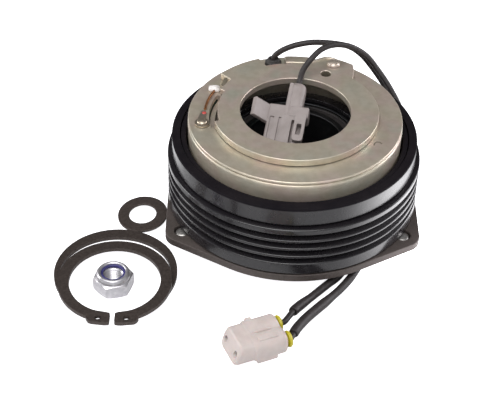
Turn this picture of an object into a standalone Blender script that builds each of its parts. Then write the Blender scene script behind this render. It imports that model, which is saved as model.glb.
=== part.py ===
"""Electromagnetic clutch for a belt-driven compressor, with its loose fitting kit.

The clutch stands with its field coil up, and +Z points along its shaft towards the compressor.
Every piece is drawn about the shaft axis. At the end the whole kit is moved by SHAFT_PLACE, which
puts the origin on the foot plane, under the middle of everything that stands there.
Sizes are in millimetres and MM turns them into metres.
"""
import math

import bmesh
import bpy
from mathutils import Matrix, Vector

MM = 0.001
GAP = 0.3                      # clearance between pieces that touch
FINE = 44                      # segments of the large turned pieces
COARSE = 32                    # segments of the bearing, winding and boss
ROUND = 12                     # segments of rivets, seals and small holes

SHAFT_PLACE = (19.8, 16.68)    # where the shaft axis ends up

# heights above the foot plane
PLATE_TOP = 47.0
PLATE_BOTTOM = 44.3
SHELL_TOP = 44.0
SHELL_BOTTOM = 15.5
RIM_TOP = 36.9
FRICTION_TOP = 13.3
FRICTION_FACE = 8.6
AIR_GAP = 0.6
ARMATURE_THICKNESS = 3.0
HUB_FLANGE_BOTTOM = 1.9
HUB_FLANGE_TOP = 3.8
HUB_TOP = 16.0

# mounting plate
PLATE_BORE_R = 20.3
PLATE_R = 30.5
PLATE_WINDOW_R = 28.5
PLATE_WING_R = 36.0
PLATE_TAB_R = 37.8
TAB_AZIMUTH = 63.5
TAB_RIVET_R = 33.5
TAB_HOLE_R = 26.6

# field coil
SHELL_R = 39.3
SHELL_WALL = 1.8
SHELL_INNER_R = 29.5
SHELL_INNER_WALL = 1.7
WINDOW_START, WINDOW_END = 157.0, 195.0
GROMMET_AZIMUTH = 103.5
GROMMET_CENTRE_R = 34.0
GROMMET_R = 3.2
EARTH_AZIMUTH = 190.3
EARTH_R = 34.5
WIRE_R = 1.1
SLEEVE_R = 1.5
SLEEVE_BORE_R = 1.32
RUN_Z = 1.6                    # height of a sleeved lead that lies on the foot plane

# rotor and pulley: four grooves of the 3.56 mm ribbed-belt pitch
CREST_R = 47.0
RIM_R = 45.3
GROOVE_PITCH = 3.56
GROOVE_COUNT = 4
GROOVE_DEPTH = 2.7
GROOVE_HALF_MOUTH = 1.35
GROOVE_HALF_ROOT = 0.35
FIRST_GROOVE_Z = 25.26
CREST_TOP = 28.7
RECESS_R = 44.3
ROTOR_R = 42.0
ROTOR_OPENING_R = 40.0
ROTOR_NECK_R = 28.5
SPLIT_R = ROTOR_R + GAP

# bearing 35 x 52 x 20
BEARING_BORE_R = 17.5
BEARING_R = 26.0
BEARING_BOTTOM = 13.6
BEARING_TOP = 33.6
BALL_R = 2.5
BALL_COUNT = 12
BALL_PITCH_R = 21.75

# armature and hub
ARMATURE_R = 47.1
ARMATURE_BORE_R = 27.5
EAR_CENTRE_R = 47.0
EAR_R = 6.3
EAR_AZIMUTHS = (-150.0, -30.0, 90.0)
EAR_HOLE_R = 3.0
HUB_EAR_CENTRE_R = 20.0
HUB_EAR_R = 4.5
HUB_FLANGE_R = 15.5
HUB_COLLAR_R = 12.0
HUB_BOSS_R = 9.2
NUT_POCKET_R = 8.4
SPLINE_TEETH = 16
SPLINE_INNER_R = 4.7
SPLINE_OUTER_R = 5.4
HUB_EAR_LEAD = 60.0            # a hub rivet sits this far round from its spring's ear rivet
SPRING_THICKNESS = 0.6
SPRING_HALF_WIDTH = 3.8

# loose fitting kit on the foot plane
FLOOR_GAP = 0.05
CIRCLIP_THICKNESS = 1.5
COIL_CIRCLIP = ((-64.3, -39.3), (22.4, 23.2), (20.2, 20.2), 1.4)
BEARING_CIRCLIP = ((-64.0, -45.9), (20.6, 21.0), (16.5, 17.05), 0.15)
CIRCLIP_GAP_SHIFT = 0.6           # the gap sits this much to the right of the bow's middle
WASHER_CENTRE = (-56.6, -6.9)
WASHER_R = 9.5
WASHER_BORE_R = 5.2
WASHER_THICKNESS = 0.9
WASHER_TILT = 6.0              # leans towards the ear beside it
WASHER_TILT_AZIMUTH = 50.0
NUT_CENTRE = (-64.5, -46.0)
NUT_ACROSS_FLATS = 13.0

# two-way plug at the end of the leads
PLUG_CENTRE = (-13.6, -76.6, 5.0)
PLUG_AZIMUTH = 204.0
PLUG_LENGTH = 19.0
PLUG_WIDTH = 15.0
PLUG_HEIGHT = 9.0
PLUG_PITCH = 8.2

# one-way supply connector tucked into the bore, tail at the back and mouth low in front
CONNECTOR_TAIL = (1.6, 16.6, 47.2)
CONNECTOR_MOUTH = (-3.0, -8.1, 35.2)
CONNECTOR_WING_PIVOT = (-9.2, 0.0, 2.4)
CONNECTOR_WING_TILT = 45.0

ARMATURE_TOP = FRICTION_FACE - AIR_GAP
ARMATURE_BOTTOM = ARMATURE_TOP - ARMATURE_THICKNESS
SPRING_TOP = ARMATURE_BOTTOM - GAP
SPRING_BOTTOM = SPRING_TOP - SPRING_THICKNESS


# ---------------------------------------------------------------- helpers

def clear_scene():
    for item in list(bpy.data.objects):
        bpy.data.objects.remove(item, do_unlink=True)


def material(name, colour, roughness, metallic):
    result = bpy.data.materials.new(name)
    result.use_nodes = True
    shader = result.node_tree.nodes["Principled BSDF"]
    shader.inputs["Base Color"].default_value = (*colour, 1.0)
    shader.inputs["Roughness"].default_value = roughness
    shader.inputs["Metallic"].default_value = metallic
    return result


def mesh_object(name, bm, finish, parent=None):
    """Turn a bmesh drawn in millimetres into a named object in metres."""
    bmesh.ops.remove_doubles(bm, verts=bm.verts, dist=1e-4)
    bmesh.ops.recalc_face_normals(bm, faces=bm.faces)
    bmesh.ops.scale(bm, vec=(MM, MM, MM), verts=bm.verts)
    mesh = bpy.data.meshes.new(name)
    bm.to_mesh(mesh)
    bm.free()
    mesh.shade_smooth()
    mesh.set_sharp_from_angle(angle=math.radians(35))
    mesh.materials.append(finish)
    result = bpy.data.objects.new(name, mesh)
    bpy.context.scene.collection.objects.link(result)
    result.parent = parent
    return result


def empty(name, matrix, parent=None):
    """A frame to hang pieces on, placed in its parent or in the world."""
    result = bpy.data.objects.new(name, None)
    bpy.context.scene.collection.objects.link(result)
    result.parent = parent
    result.matrix_local = matrix
    return result


def boolean(target, tool, operation="DIFFERENCE"):
    """Apply a hidden tool to a piece with an exact Boolean."""
    tool.hide_render = True
    tool.display_type = "WIRE"
    modifier = target.modifiers.new(tool.name, "BOOLEAN")
    modifier.operation = operation
    modifier.solver = "EXACT"
    modifier.object = tool


def polar(radius, azimuth):
    angle = math.radians(azimuth)
    return (radius * math.cos(angle), radius * math.sin(angle))


def arc(radius, start, end, steps, centre=(0.0, 0.0)):
    """Points along a circular arc, both ends included."""
    points = []
    for step in range(steps + 1):
        x, y = polar(radius, start + (end - start) * step / steps)
        points.append((centre[0] + x, centre[1] + y))
    return points


def circle(radius, count, centre=(0.0, 0.0)):
    return arc(radius, 0.0, 360.0, count, centre)[:-1]


def arc_slot(inner, outer, start, end, steps):
    return arc(outer, start, end, steps) + arc(inner, end, start, steps)


def strip(start, end, half_width, steps=6):
    """A straight strip with round ends."""
    heading = math.degrees(math.atan2(end[1] - start[1], end[0] - start[0]))
    far = arc(half_width, heading - 90.0, heading + 90.0, steps, end)
    near = arc(half_width, heading + 90.0, heading + 270.0, steps, start)
    return far + near


def eared_disc(radius, ear_centre_r, ear_r, azimuths, steps):
    """A disc with ears, each joined to it by its straight common tangents."""
    spread = math.degrees(math.acos((radius - ear_r) / ear_centre_r))
    points = []
    for azimuth in azimuths:
        points += arc(ear_r, azimuth - spread, azimuth + spread, 10, polar(ear_centre_r, azimuth))
        points += arc(radius, azimuth + spread, azimuth + 120.0 - spread, steps)
    return points


def add_prism(bm, outline, holes, bottom, top):
    """Add the solid between two heights inside an outline and outside its holes."""
    edges = []
    for loop in [outline] + holes:
        verts = [bm.verts.new((x, y, bottom)) for x, y in loop]
        for index, vert in enumerate(verts):
            edges.append(bm.edges.new((vert, verts[(index + 1) % len(verts)])))
    filled = bmesh.ops.triangle_fill(bm, edges=edges, use_beauty=True, use_dissolve=False)
    faces = [item for item in filled["geom"] if isinstance(item, bmesh.types.BMFace)]
    raised = bmesh.ops.extrude_face_region(bm, geom=faces)
    moved = [item for item in raised["geom"] if isinstance(item, bmesh.types.BMVert)]
    bmesh.ops.translate(bm, vec=(0.0, 0.0, top - bottom), verts=moved)


def prism(name, outline, holes, bottom, top, finish, parent=None):
    bm = bmesh.new()
    add_prism(bm, outline, holes, bottom, top)
    return mesh_object(name, bm, finish, parent)


def cutters(name, outlines, bottom, top):
    """Several separate upright cutters in one object."""
    bm = bmesh.new()
    for outline in outlines:
        add_prism(bm, outline, [], bottom, top)
    return mesh_object(name, bm, STEEL)


def revolve(name, profile, segments, finish, parent=None, centre=(0.0, 0.0, 0.0)):
    """Turn a closed (radius, height) profile round the z axis through centre."""
    bm = bmesh.new()
    verts = [bm.verts.new((radius, 0.0, height)) for radius, height in profile]
    edges = [bm.edges.new((verts[i - 1], verts[i])) for i in range(len(verts))]
    bmesh.ops.spin(
        bm, geom=verts + edges, cent=(0.0, 0.0, 0.0), axis=(0.0, 0.0, 1.0),
        angle=math.tau, steps=segments, use_merge=True, use_duplicate=False)
    bmesh.ops.remove_doubles(bm, verts=bm.verts, dist=1e-4)
    bmesh.ops.dissolve_degenerate(bm, edges=bm.edges, dist=1e-4)
    bmesh.ops.translate(bm, vec=centre, verts=bm.verts)
    return mesh_object(name, bm, finish, parent)


def rectangle(inner, outer, bottom, top):
    return [(inner, bottom), (outer, bottom), (outer, top), (inner, top)]


def block(name, low, high, finish, parent=None, bevel=0.0):
    """A box from corner to corner, with its edges chamfered if a bevel is given."""
    bm = bmesh.new()
    size = [high[i] - low[i] for i in range(3)]
    middle = [(high[i] + low[i]) / 2.0 for i in range(3)]
    bmesh.ops.create_cube(bm, size=1.0)
    bmesh.ops.scale(bm, vec=size, verts=bm.verts)
    bmesh.ops.translate(bm, vec=middle, verts=bm.verts)
    if bevel:
        bmesh.ops.bevel(bm, geom=list(bm.edges), offset=bevel, segments=1, affect="EDGES")
    return mesh_object(name, bm, finish, parent)


def smooth_path(points, steps):
    """Catmull-Rom curve through the given points."""
    knots = [Vector(p) for p in points]
    knots = [2 * knots[0] - knots[1]] + knots + [2 * knots[-1] - knots[-2]]
    path = []
    for index in range(1, len(knots) - 2):
        before, start, end, after = knots[index - 1:index + 3]
        for step in range(steps):
            t = step / steps
            slope_in = (end - before) / 2.0
            slope_out = (after - start) / 2.0
            path.append(
                start * (2 * t**3 - 3 * t**2 + 1) + slope_in * (t**3 - 2 * t**2 + t)
                + end * (3 * t**2 - 2 * t**3) + slope_out * (t**3 - t**2))
    path.append(knots[-2])
    return path


def path_rings(bm, path, radius, sides):
    """Rings of vertices round each point of a path, square to it."""
    rings = []
    side = Vector((0.31, -0.22, 0.92))
    for index, point in enumerate(path):
        ahead = path[min(index + 1, len(path) - 1)] - path[max(index - 1, 0)]
        ahead.normalize()
        side = (side - ahead * side.dot(ahead)).normalized()
        other = ahead.cross(side)
        ring = []
        for corner in range(sides):
            angle = math.tau * corner / sides
            offset = side * math.cos(angle) + other * math.sin(angle)
            ring.append(bm.verts.new(point + offset * radius))
        rings.append(ring)
    return rings


def join_rings(bm, rings):
    for first, second in zip(rings, rings[1:]):
        sides = len(first)
        for corner in range(sides):
            after = (corner + 1) % sides
            bm.faces.new((first[corner], first[after], second[after], second[corner]))


def wire(name, path, radius, finish, sides=6):
    """A round solid wire along a path."""
    bm = bmesh.new()
    rings = path_rings(bm, path, radius, sides)
    join_rings(bm, rings)
    bm.faces.new(reversed(rings[0]))
    bm.faces.new(rings[-1])
    return mesh_object(name, bm, finish)


def sleeve(name, path, finish, sides=6):
    """A hollow sleeve round the wire that follows the same path."""
    bm = bmesh.new()
    outside = path_rings(bm, path, SLEEVE_R, sides)
    inside = path_rings(bm, path, SLEEVE_BORE_R, sides)
    join_rings(bm, outside + inside[::-1] + outside[:1])
    return mesh_object(name, bm, finish)


def dome(radius, base, height, steps=3):
    """Profile points of a domed head, from its rim to the axis."""
    points = []
    for step in range(steps + 1):
        angle = math.pi / 2.0 * step / steps
        points.append((radius * math.cos(angle), base + height * math.sin(angle)))
    return points


# ---------------------------------------------------------------- field coil

def mounting_plate():
    outline = (
        arc(PLATE_WINDOW_R, WINDOW_START, WINDOW_END, 8)
        + arc(PLATE_R, WINDOW_END, 360.0 + 44.0, 34)
        + [polar(34.6, 49.0)]
        + arc(PLATE_TAB_R, 53.5, 68.0, 5)
        + [polar(34.4, 73.5)]
        + arc(PLATE_R, 80.0, 110.5, 6)
        + arc(PLATE_WING_R, 112.0, 141.0, 8)
        + arc(PLATE_R, 142.0, WINDOW_START - 1.0, 3))
    holes = [
        circle(PLATE_BORE_R, FINE),
        circle(1.8, ROUND, polar(TAB_RIVET_R, TAB_AZIMUTH)),
        circle(2.0, ROUND, polar(TAB_HOLE_R, TAB_AZIMUTH))]
    return prism("mounting_plate", outline, holes, PLATE_BOTTOM, PLATE_TOP, CHROMATE)


def coil_shell():
    """Steel cup, open downwards, with a lead window in its top web."""
    inner_wall = SHELL_INNER_R + SHELL_INNER_WALL
    outer_wall = SHELL_R - SHELL_WALL
    web = SHELL_TOP - SHELL_WALL
    shoulder = 0.9
    profile = [
        (SHELL_INNER_R, SHELL_BOTTOM), (inner_wall, SHELL_BOTTOM), (inner_wall, web),
        (outer_wall, web), (outer_wall, SHELL_BOTTOM), (SHELL_R, SHELL_BOTTOM),
        (SHELL_R, SHELL_TOP - shoulder), (SHELL_R - shoulder, SHELL_TOP),
        (SHELL_INNER_R, SHELL_TOP)]
    shell = revolve("coil_shell", profile, FINE, CHROMATE)
    window = arc_slot(SHELL_INNER_R - 1.0, inner_wall, WINDOW_START, WINDOW_END, 8)
    boolean(shell, cutters("window_cutter", [window], web - 0.8, SHELL_TOP + 1.0))
    return shell


def coil_inside():
    """Bobbin, copper winding and the potting that closes the cup's top."""
    inner = SHELL_INNER_R + SHELL_INNER_WALL + GAP
    outer = SHELL_R - SHELL_WALL - GAP
    low, high = SHELL_BOTTOM + 1.5, 40.4
    wall = 1.0
    profile = [
        (inner, low), (outer, low), (outer, low + wall), (inner + wall, low + wall),
        (inner + wall, high - wall), (outer, high - wall), (outer, high), (inner, high)]
    revolve("coil_bobbin", profile, COARSE, PLASTIC)
    winding = rectangle(inner + wall + GAP, outer - GAP, low + wall + GAP, high - wall - GAP)
    revolve("coil_winding", winding, COARSE, COPPER)
    potting = rectangle(inner, outer, high + GAP, SHELL_TOP - SHELL_WALL - GAP)
    revolve("coil_potting", potting, COARSE, EPOXY)


def tab_rivet():
    x, y = polar(TAB_RIVET_R, TAB_AZIMUTH)
    head = PLATE_TOP + GAP
    profile = [(0.0, PLATE_BOTTOM), (1.5, PLATE_BOTTOM), (1.5, head)] + dome(2.6, head, 1.5)
    revolve("tab_rivet", profile, ROUND, STEEL, centre=(x, y, 0.0))


def earth_connection():
    """Ring lug, its rivet and the bare end of the winding that is soldered to it."""
    bottom = SHELL_TOP + GAP
    top = bottom + 0.6
    centre = polar(EARTH_R, EARTH_AZIMUTH)
    heading = EARTH_AZIMUTH - 90.0
    tongue = polar(EARTH_R - 0.9, EARTH_AZIMUTH - 10.5)
    outline = (
        arc(2.7, heading + 30.0, heading + 330.0, 14, centre)
        + arc(1.1, heading - 90.0, heading + 90.0, 5, tongue))
    prism("earth_terminal", outline, [circle(1.3, ROUND, centre)], bottom, top, STEEL)
    head = top + GAP
    profile = [(0.0, bottom), (1.0, bottom), (1.0, head)] + dome(1.9, head, 0.9)
    revolve("earth_rivet", profile, ROUND, STEEL, centre=(*centre, 0.0))
    height = SHELL_TOP + GAP + 0.5
    path = [(*polar(33.2, azimuth), height) for azimuth in (173.0, 167.0, 161.0, 155.0)]
    wire("coil_end_lead", smooth_path(path, 2), 0.5, COPPER)


def lead_exit():
    """Rubber grommet with the lead in it, and the folded clamp beside it."""
    x, y = polar(GROMMET_CENTRE_R, GROMMET_AZIMUTH)
    low = SHELL_TOP + GAP
    bore = WIRE_R + 2 * GAP
    profile = [(bore, low), (GROMMET_R, low), (GROMMET_R, low + 1.8), (2.4, low + 3.0),
               (bore, low + 3.0)]
    revolve("lead_grommet", profile, ROUND, RUBBER, centre=(x, y, 0.0))
    clamp = arc_slot(PLATE_R + GAP, 35.2, 80.5, 96.0, 6)
    prism("lead_clamp", clamp, [], low, PLATE_TOP + 0.2, CHROMATE)


# ---------------------------------------------------------------- leads and connectors

def behind_plug(side, distance):
    """Point on the axis of one plug cavity, the given distance behind the housing."""
    x = -PLUG_LENGTH / 2.0 - distance
    y = side * PLUG_PITCH / 2.0
    turn = Matrix.Rotation(math.radians(PLUG_AZIMUTH), 3, "Z")
    return Vector(PLUG_CENTRE) + turn @ Vector((x, y, 0.0))


def coil_lead_wire():
    """From the grommet over the back, down outside the ears and under the armature."""
    x, y = polar(GROMMET_CENTRE_R, GROMMET_AZIMUTH)
    points = [
        (x, y, SHELL_TOP + 0.8), (x, y, 46.8), (x + 0.8, y - 0.1, 48.9), (-4.0, 32.8, 51.6),
        (1.6, 33.4, 53.6),
        (8.8, 34.5, 54.0), (19.4, 37.0, 51.3), (25.6, 38.4, 46.8), (31.0, 38.8, 39.9),
        (36.6, 39.0, 31.0), (41.0, 38.9, 22.0), (42.6, 38.6, 12.0), (41.6, 37.6, 5.0),
        (39.6, 35.4, 2.1), (37.2, 31.5, RUN_Z), (34.0, 22.0, RUN_Z), (31.0, 9.0, RUN_Z),
        (28.6, -8.0, RUN_Z), (24.4, -25.0, RUN_Z), (17.4, -38.7, RUN_Z), (12.4, -44.6, RUN_Z),
        (6.6, -51.5, 1.9), (1.2, -58.6, 3.1), (-1.4, -63.6, 4.3)]
    points += [behind_plug(-1.0, distance) for distance in (3.6, 2.0, -1.0)]
    path = smooth_path(points, 2)
    wire("coil_lead_wire", path, WIRE_R, SLEEVE)
    sleeve("coil_lead_sleeve", path[28:46], SLEEVE)


def supply_wire():
    """From the tucked-in connector over the back, beside the coil lead to the plug."""
    points = [
        (1.0, 13.2, 45.5), (1.8, 17.4, 47.6), (3.0, 20.0, 50.8), (5.9, 22.4, 54.3),
        (10.0, 26.0, 56.5),
        (15.2, 29.6, 56.2), (21.2, 32.2, 53.8), (27.4, 34.0, 48.9), (32.4, 35.2, 41.9),
        (38.0, 35.6, 33.0), (43.2, 34.6, 23.0), (46.0, 33.6, 13.0), (45.6, 33.0, 5.4),
        (43.4, 31.0, 2.1), (41.0, 27.6, RUN_Z), (38.0, 19.0, RUN_Z), (35.0, 7.0, RUN_Z),
        (33.0, -7.0, RUN_Z), (29.4, -22.0, RUN_Z), (22.6, -37.6, RUN_Z), (18.4, -44.9, RUN_Z),
        (13.5, -51.7, 2.0), (8.3, -58.8, 3.0), (4.2, -64.6, 3.8), (0.8, -70.6, 4.6)]
    points += [behind_plug(1.0, distance) for distance in (2.2, 1.0, -1.0)]
    path = smooth_path(points, 2)
    wire("supply_wire", path, WIRE_R, SLEEVE)
    sleeve("supply_lead_sleeve", path[28:50], SLEEVE)


def two_way_plug():
    """Plug housing with two cavities, each with a socket terminal and a wire seal.

    Its frame has +X from the leads to the mating face and +Y across the cavities.
    """
    frame = Matrix.Translation(Vector(PLUG_CENTRE) * MM) @ Matrix.Rotation(
        math.radians(PLUG_AZIMUTH), 4, "Z")
    root = empty("plug_frame", frame)
    half = (PLUG_LENGTH / 2.0, PLUG_WIDTH / 2.0, PLUG_HEIGHT / 2.0)
    housing = block(
        "plug_housing", (-half[0], -half[1], -half[2]), half, PLUG_WHITE, root, bevel=1.6)
    cavity = 2.6
    bm = bmesh.new()
    for side in (-1.0, 1.0):
        centre = side * PLUG_PITCH / 2.0
        turn = Matrix.Translation((0.0, centre, 0.0)) @ Matrix.Rotation(math.pi / 2.0, 4, "Y")
        bmesh.ops.create_cone(
            bm, cap_ends=True, segments=16, radius1=cavity, radius2=cavity,
            depth=PLUG_LENGTH + 2.0, matrix=turn)
    boolean(housing, mesh_object("plug_cavity_cutter", bm, STEEL, root))
    for letter, side in (("a", 1.0), ("b", -1.0)):
        centre = side * PLUG_PITCH / 2.0
        seal_and_terminal(letter, centre, half[0], cavity, root)


def seal_and_terminal(letter, centre, half_length, cavity, root):
    """Ribbed wire seal at the back of a cavity and square socket terminal at its front."""
    outer = cavity - GAP
    bore = WIRE_R + GAP
    low, high = -half_length - 2.2, -half_length + 4.0
    profile = [(bore, low), (outer - 0.4, low), (outer, low + 1.1), (outer - 0.5, low + 2.2),
               (outer, low + 3.3), (outer - 0.5, low + 4.4), (outer, high - 0.8), (outer, high),
               (bore, high)]
    seal = revolve("plug_seal_" + letter, profile, ROUND, SEAL, root)
    along = Matrix.Rotation(math.pi / 2.0, 4, "Y")
    seal.matrix_local = Matrix.Translation((0.0, centre * MM, 0.0)) @ along
    start, end = half_length - 11.0, half_length - 1.6
    terminal = block(
        "plug_terminal_" + letter, (start, centre - 1.4, -1.4), (end, centre + 1.4, 1.4),
        STEEL, root, bevel=0.2)
    socket = block(
        "plug_socket_cutter_" + letter, (end - 7.0, centre - 0.9, -0.9),
        (end + 1.0, centre + 0.9, 0.9), STEEL, root)
    boolean(terminal, socket)


def connector_frame():
    """Frame of the supply connector: +Y from its mouth to its tail, +Z out of its top."""
    mouth = Vector(CONNECTOR_MOUTH)
    along = (Vector(CONNECTOR_TAIL) - mouth).normalized()
    across = along.cross(Vector((0.0, 0.0, 1.0))).normalized()
    up = across.cross(along)
    turn = Matrix((across, along, up)).transposed().to_4x4()
    return empty("connector_frame", Matrix.Translation(mouth * MM) @ turn)


def supply_connector():
    """One-way connector with a tail tube, a raised wing, a blade terminal and a latch."""
    root = connector_frame()
    body = block("supply_connector", (-9.0, 0.0, -4.2), (6.0, 16.4, 3.4), PLUG_GREY, root, 0.7)
    tail = block("tail_tool", (-3.2, 15.4, -3.0), (3.2, 27.0, 3.0), STEEL, root, 1.4)
    tilt = Matrix.Translation(Vector(CONNECTOR_WING_PIVOT) * MM) @ Matrix.Rotation(
        math.radians(CONNECTOR_WING_TILT), 4, "Y")
    wing = block("wing_tool", (-7.0, 8.4, -0.9), (1.4, 15.8, 0.9), STEEL,
                 empty("wing_pivot", tilt, root), 0.3)
    boolean(body, tail, "UNION")
    boolean(body, wing, "UNION")
    cavity = block("connector_cavity_cutter", (-4.6, -1.0, -2.8), (1.4, 10.0, 1.8), STEEL, root)
    boolean(body, cavity)
    lead_bore = bmesh.new()
    turn = Matrix.Translation((0.0, 22.0, 0.0)) @ Matrix.Rotation(math.pi / 2.0, 4, "X")
    bmesh.ops.create_cone(
        lead_bore, cap_ends=True, segments=12, radius1=2.0, radius2=2.0, depth=14.0, matrix=turn)
    boolean(body, mesh_object("lead_bore_cutter", lead_bore, STEEL, root))
    block("supply_terminal", (-3.8, 1.2, -0.4), (0.6, 9.4, 0.4), STEEL, root, 0.1)
    pivot = Matrix.Translation(Vector((3.6, 12.0, 4.6)) * MM)
    latch_root = empty("latch_pivot", pivot, root)
    latch = block("supply_connector_latch", (-2.0, -11.0, -0.8), (2.0, 0.0, 0.8), PLUG_GREY,
                  latch_root, 0.3)
    slot = block("latch_slot_cutter", (-0.9, -8.6, -2.0), (0.9, -4.6, 2.0), STEEL, latch_root)
    boolean(latch, slot)


# ---------------------------------------------------------------- rotor, pulley and bearing

def rotor():
    """U-section rotor: bearing seat, friction disc with flux slots, and outer cylinder."""
    seat_r = BEARING_R + GAP
    lip = BEARING_TOP + GAP
    profile = [
        (24.0, 11.2), (24.6, FRICTION_FACE), (ROTOR_R, FRICTION_FACE), (ROTOR_R, RIM_TOP - 0.5),
        (ROTOR_OPENING_R, RIM_TOP - 0.5), (ROTOR_OPENING_R, FRICTION_TOP),
        (ROTOR_NECK_R, FRICTION_TOP), (ROTOR_NECK_R, lip + 1.4), (24.6, lip + 1.4),
        (24.6, lip), (seat_r, lip), (seat_r, FRICTION_TOP), (24.0, FRICTION_TOP)]
    piece = revolve("rotor", profile, FINE, ENAMEL)
    slots = [arc_slot(35.4, 37.2, 60.0 * k - 24.0, 60.0 * k + 24.0, 5) for k in range(6)]
    boolean(piece, cutters("flux_slot_cutter", slots, FRICTION_FACE - 1.0, FRICTION_TOP + 1.0))


def groove_profile():
    """Outer wall of the grooved ring, from its friction-face side up to its rim."""
    points = [(CREST_R - 0.6, FRICTION_FACE), (CREST_R, FRICTION_FACE + 0.6)]
    root = CREST_R - GROOVE_DEPTH
    for index in reversed(range(GROOVE_COUNT)):
        middle = FIRST_GROOVE_Z - index * GROOVE_PITCH
        points += [
            (CREST_R, middle - GROOVE_HALF_MOUTH), (root, middle - GROOVE_HALF_ROOT),
            (root, middle + GROOVE_HALF_ROOT), (CREST_R, middle + GROOVE_HALF_MOUTH)]
    recess_low, recess_high = CREST_TOP + 0.3, CREST_TOP + 1.1
    points += [
        (CREST_R, CREST_TOP - 0.3), (CREST_R - 0.5, CREST_TOP), (RECESS_R, recess_low),
        (RECESS_R, recess_high), (RIM_R, recess_high), (RIM_R, RIM_TOP - 0.4),
        (RIM_R - 0.4, RIM_TOP)]
    return points


def pulley_rim():
    profile = [(SPLIT_R, FRICTION_FACE)] + groove_profile() + [(SPLIT_R, RIM_TOP)]
    revolve("pulley_rim", profile, FINE, ENAMEL)


def raceway(radius, groove_sign, middle):
    """Groove for the balls in a ring's wall at the given radius, from low to high."""
    groove_r = BALL_R + GAP
    reach = math.acos(abs(radius - BALL_PITCH_R) / groove_r)
    points = []
    for step in range(5):
        angle = -reach + 2.0 * reach * step / 4
        x = BALL_PITCH_R + groove_sign * groove_r * math.cos(angle)
        points.append((x, middle + groove_r * math.sin(angle)))
    return points


def bearing():
    middle = (BEARING_BOTTOM + BEARING_TOP) / 2.0
    inner_r, outer_r = 20.1, 23.4
    inner = [(BEARING_BORE_R, BEARING_BOTTOM), (inner_r, BEARING_BOTTOM)]
    inner += raceway(inner_r, -1.0, middle) + [(inner_r, BEARING_TOP), (BEARING_BORE_R, BEARING_TOP)]
    revolve("bearing_inner_ring", inner, COARSE, BRIGHT)
    outer = [(BEARING_R, BEARING_BOTTOM), (outer_r, BEARING_BOTTOM)]
    outer += raceway(outer_r, 1.0, middle) + [(outer_r, BEARING_TOP), (BEARING_R, BEARING_TOP)]
    revolve("bearing_outer_ring", outer, COARSE, BRIGHT)
    for name, low in (("top", BEARING_TOP - 1.4), ("bottom", BEARING_BOTTOM + 0.6)):
        seal = rectangle(inner_r + GAP, outer_r - GAP, low, low + 0.8)
        revolve("bearing_seal_" + name, seal, COARSE, RUBBER)
    ball_cage(middle)
    ball = ball_mesh()
    for index in range(BALL_COUNT):
        x, y = polar(BALL_PITCH_R, 360.0 * index / BALL_COUNT)
        piece = bpy.data.objects.new("ball_%d" % (index + 1), ball)
        bpy.context.scene.collection.objects.link(piece)
        piece.location = Vector((x, y, middle)) * MM


def ball_mesh():
    bm = bmesh.new()
    bmesh.ops.create_icosphere(bm, subdivisions=2, radius=BALL_R * MM)
    mesh = bpy.data.meshes.new("ball")
    bm.to_mesh(mesh)
    bm.free()
    mesh.shade_smooth()
    mesh.materials.append(BRIGHT)
    return mesh


def ball_cage(middle):
    """Thin ring between the raceways with a radial pocket for each ball."""
    half_height = BALL_R + 1.4
    ring = rectangle(21.2, 22.3, middle - half_height, middle + half_height)
    cage = revolve("bearing_cage", ring, 3 * BALL_COUNT, PLASTIC)
    bm = bmesh.new()
    for index in range(BALL_COUNT):
        azimuth = 360.0 * index / BALL_COUNT
        x, y = polar(BALL_PITCH_R, azimuth)
        turn = (Matrix.Translation((x, y, middle)) @ Matrix.Rotation(math.radians(azimuth), 4, "Z")
                @ Matrix.Rotation(math.pi / 2.0, 4, "Y"))
        bmesh.ops.create_cone(
            bm, cap_ends=True, segments=12, radius1=BALL_R + GAP, radius2=BALL_R + GAP,
            depth=4.0, matrix=turn)
    boolean(cage, mesh_object("pocket_cutter", bm, STEEL))


# ---------------------------------------------------------------- armature and hub

def hub_azimuths():
    return [azimuth + HUB_EAR_LEAD for azimuth in EAR_AZIMUTHS]


def armature_plate():
    outline = eared_disc(ARMATURE_R, EAR_CENTRE_R, EAR_R, EAR_AZIMUTHS, 12)
    holes = [circle(ARMATURE_BORE_R, FINE)]
    holes += [circle(EAR_HOLE_R, ROUND, polar(EAR_CENTRE_R, azimuth)) for azimuth in EAR_AZIMUTHS]
    holes += [arc_slot(38.6, 40.2, a + 28.0, a + 92.0, 7) for a in EAR_AZIMUTHS]
    prism("armature_plate", outline, holes, ARMATURE_BOTTOM, ARMATURE_TOP, PHOSPHATE)


def leaf_springs():
    for index, (ear, hub_ear) in enumerate(zip(EAR_AZIMUTHS, hub_azimuths())):
        outer = polar(EAR_CENTRE_R, ear)
        inner = polar(HUB_EAR_CENTRE_R, hub_ear)
        holes = [circle(2.8, ROUND, outer), circle(2.3, ROUND, inner)]
        prism("leaf_spring_%d" % (index + 1), strip(inner, outer, SPRING_HALF_WIDTH), holes,
              SPRING_BOTTOM, SPRING_TOP, STEEL)


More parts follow.
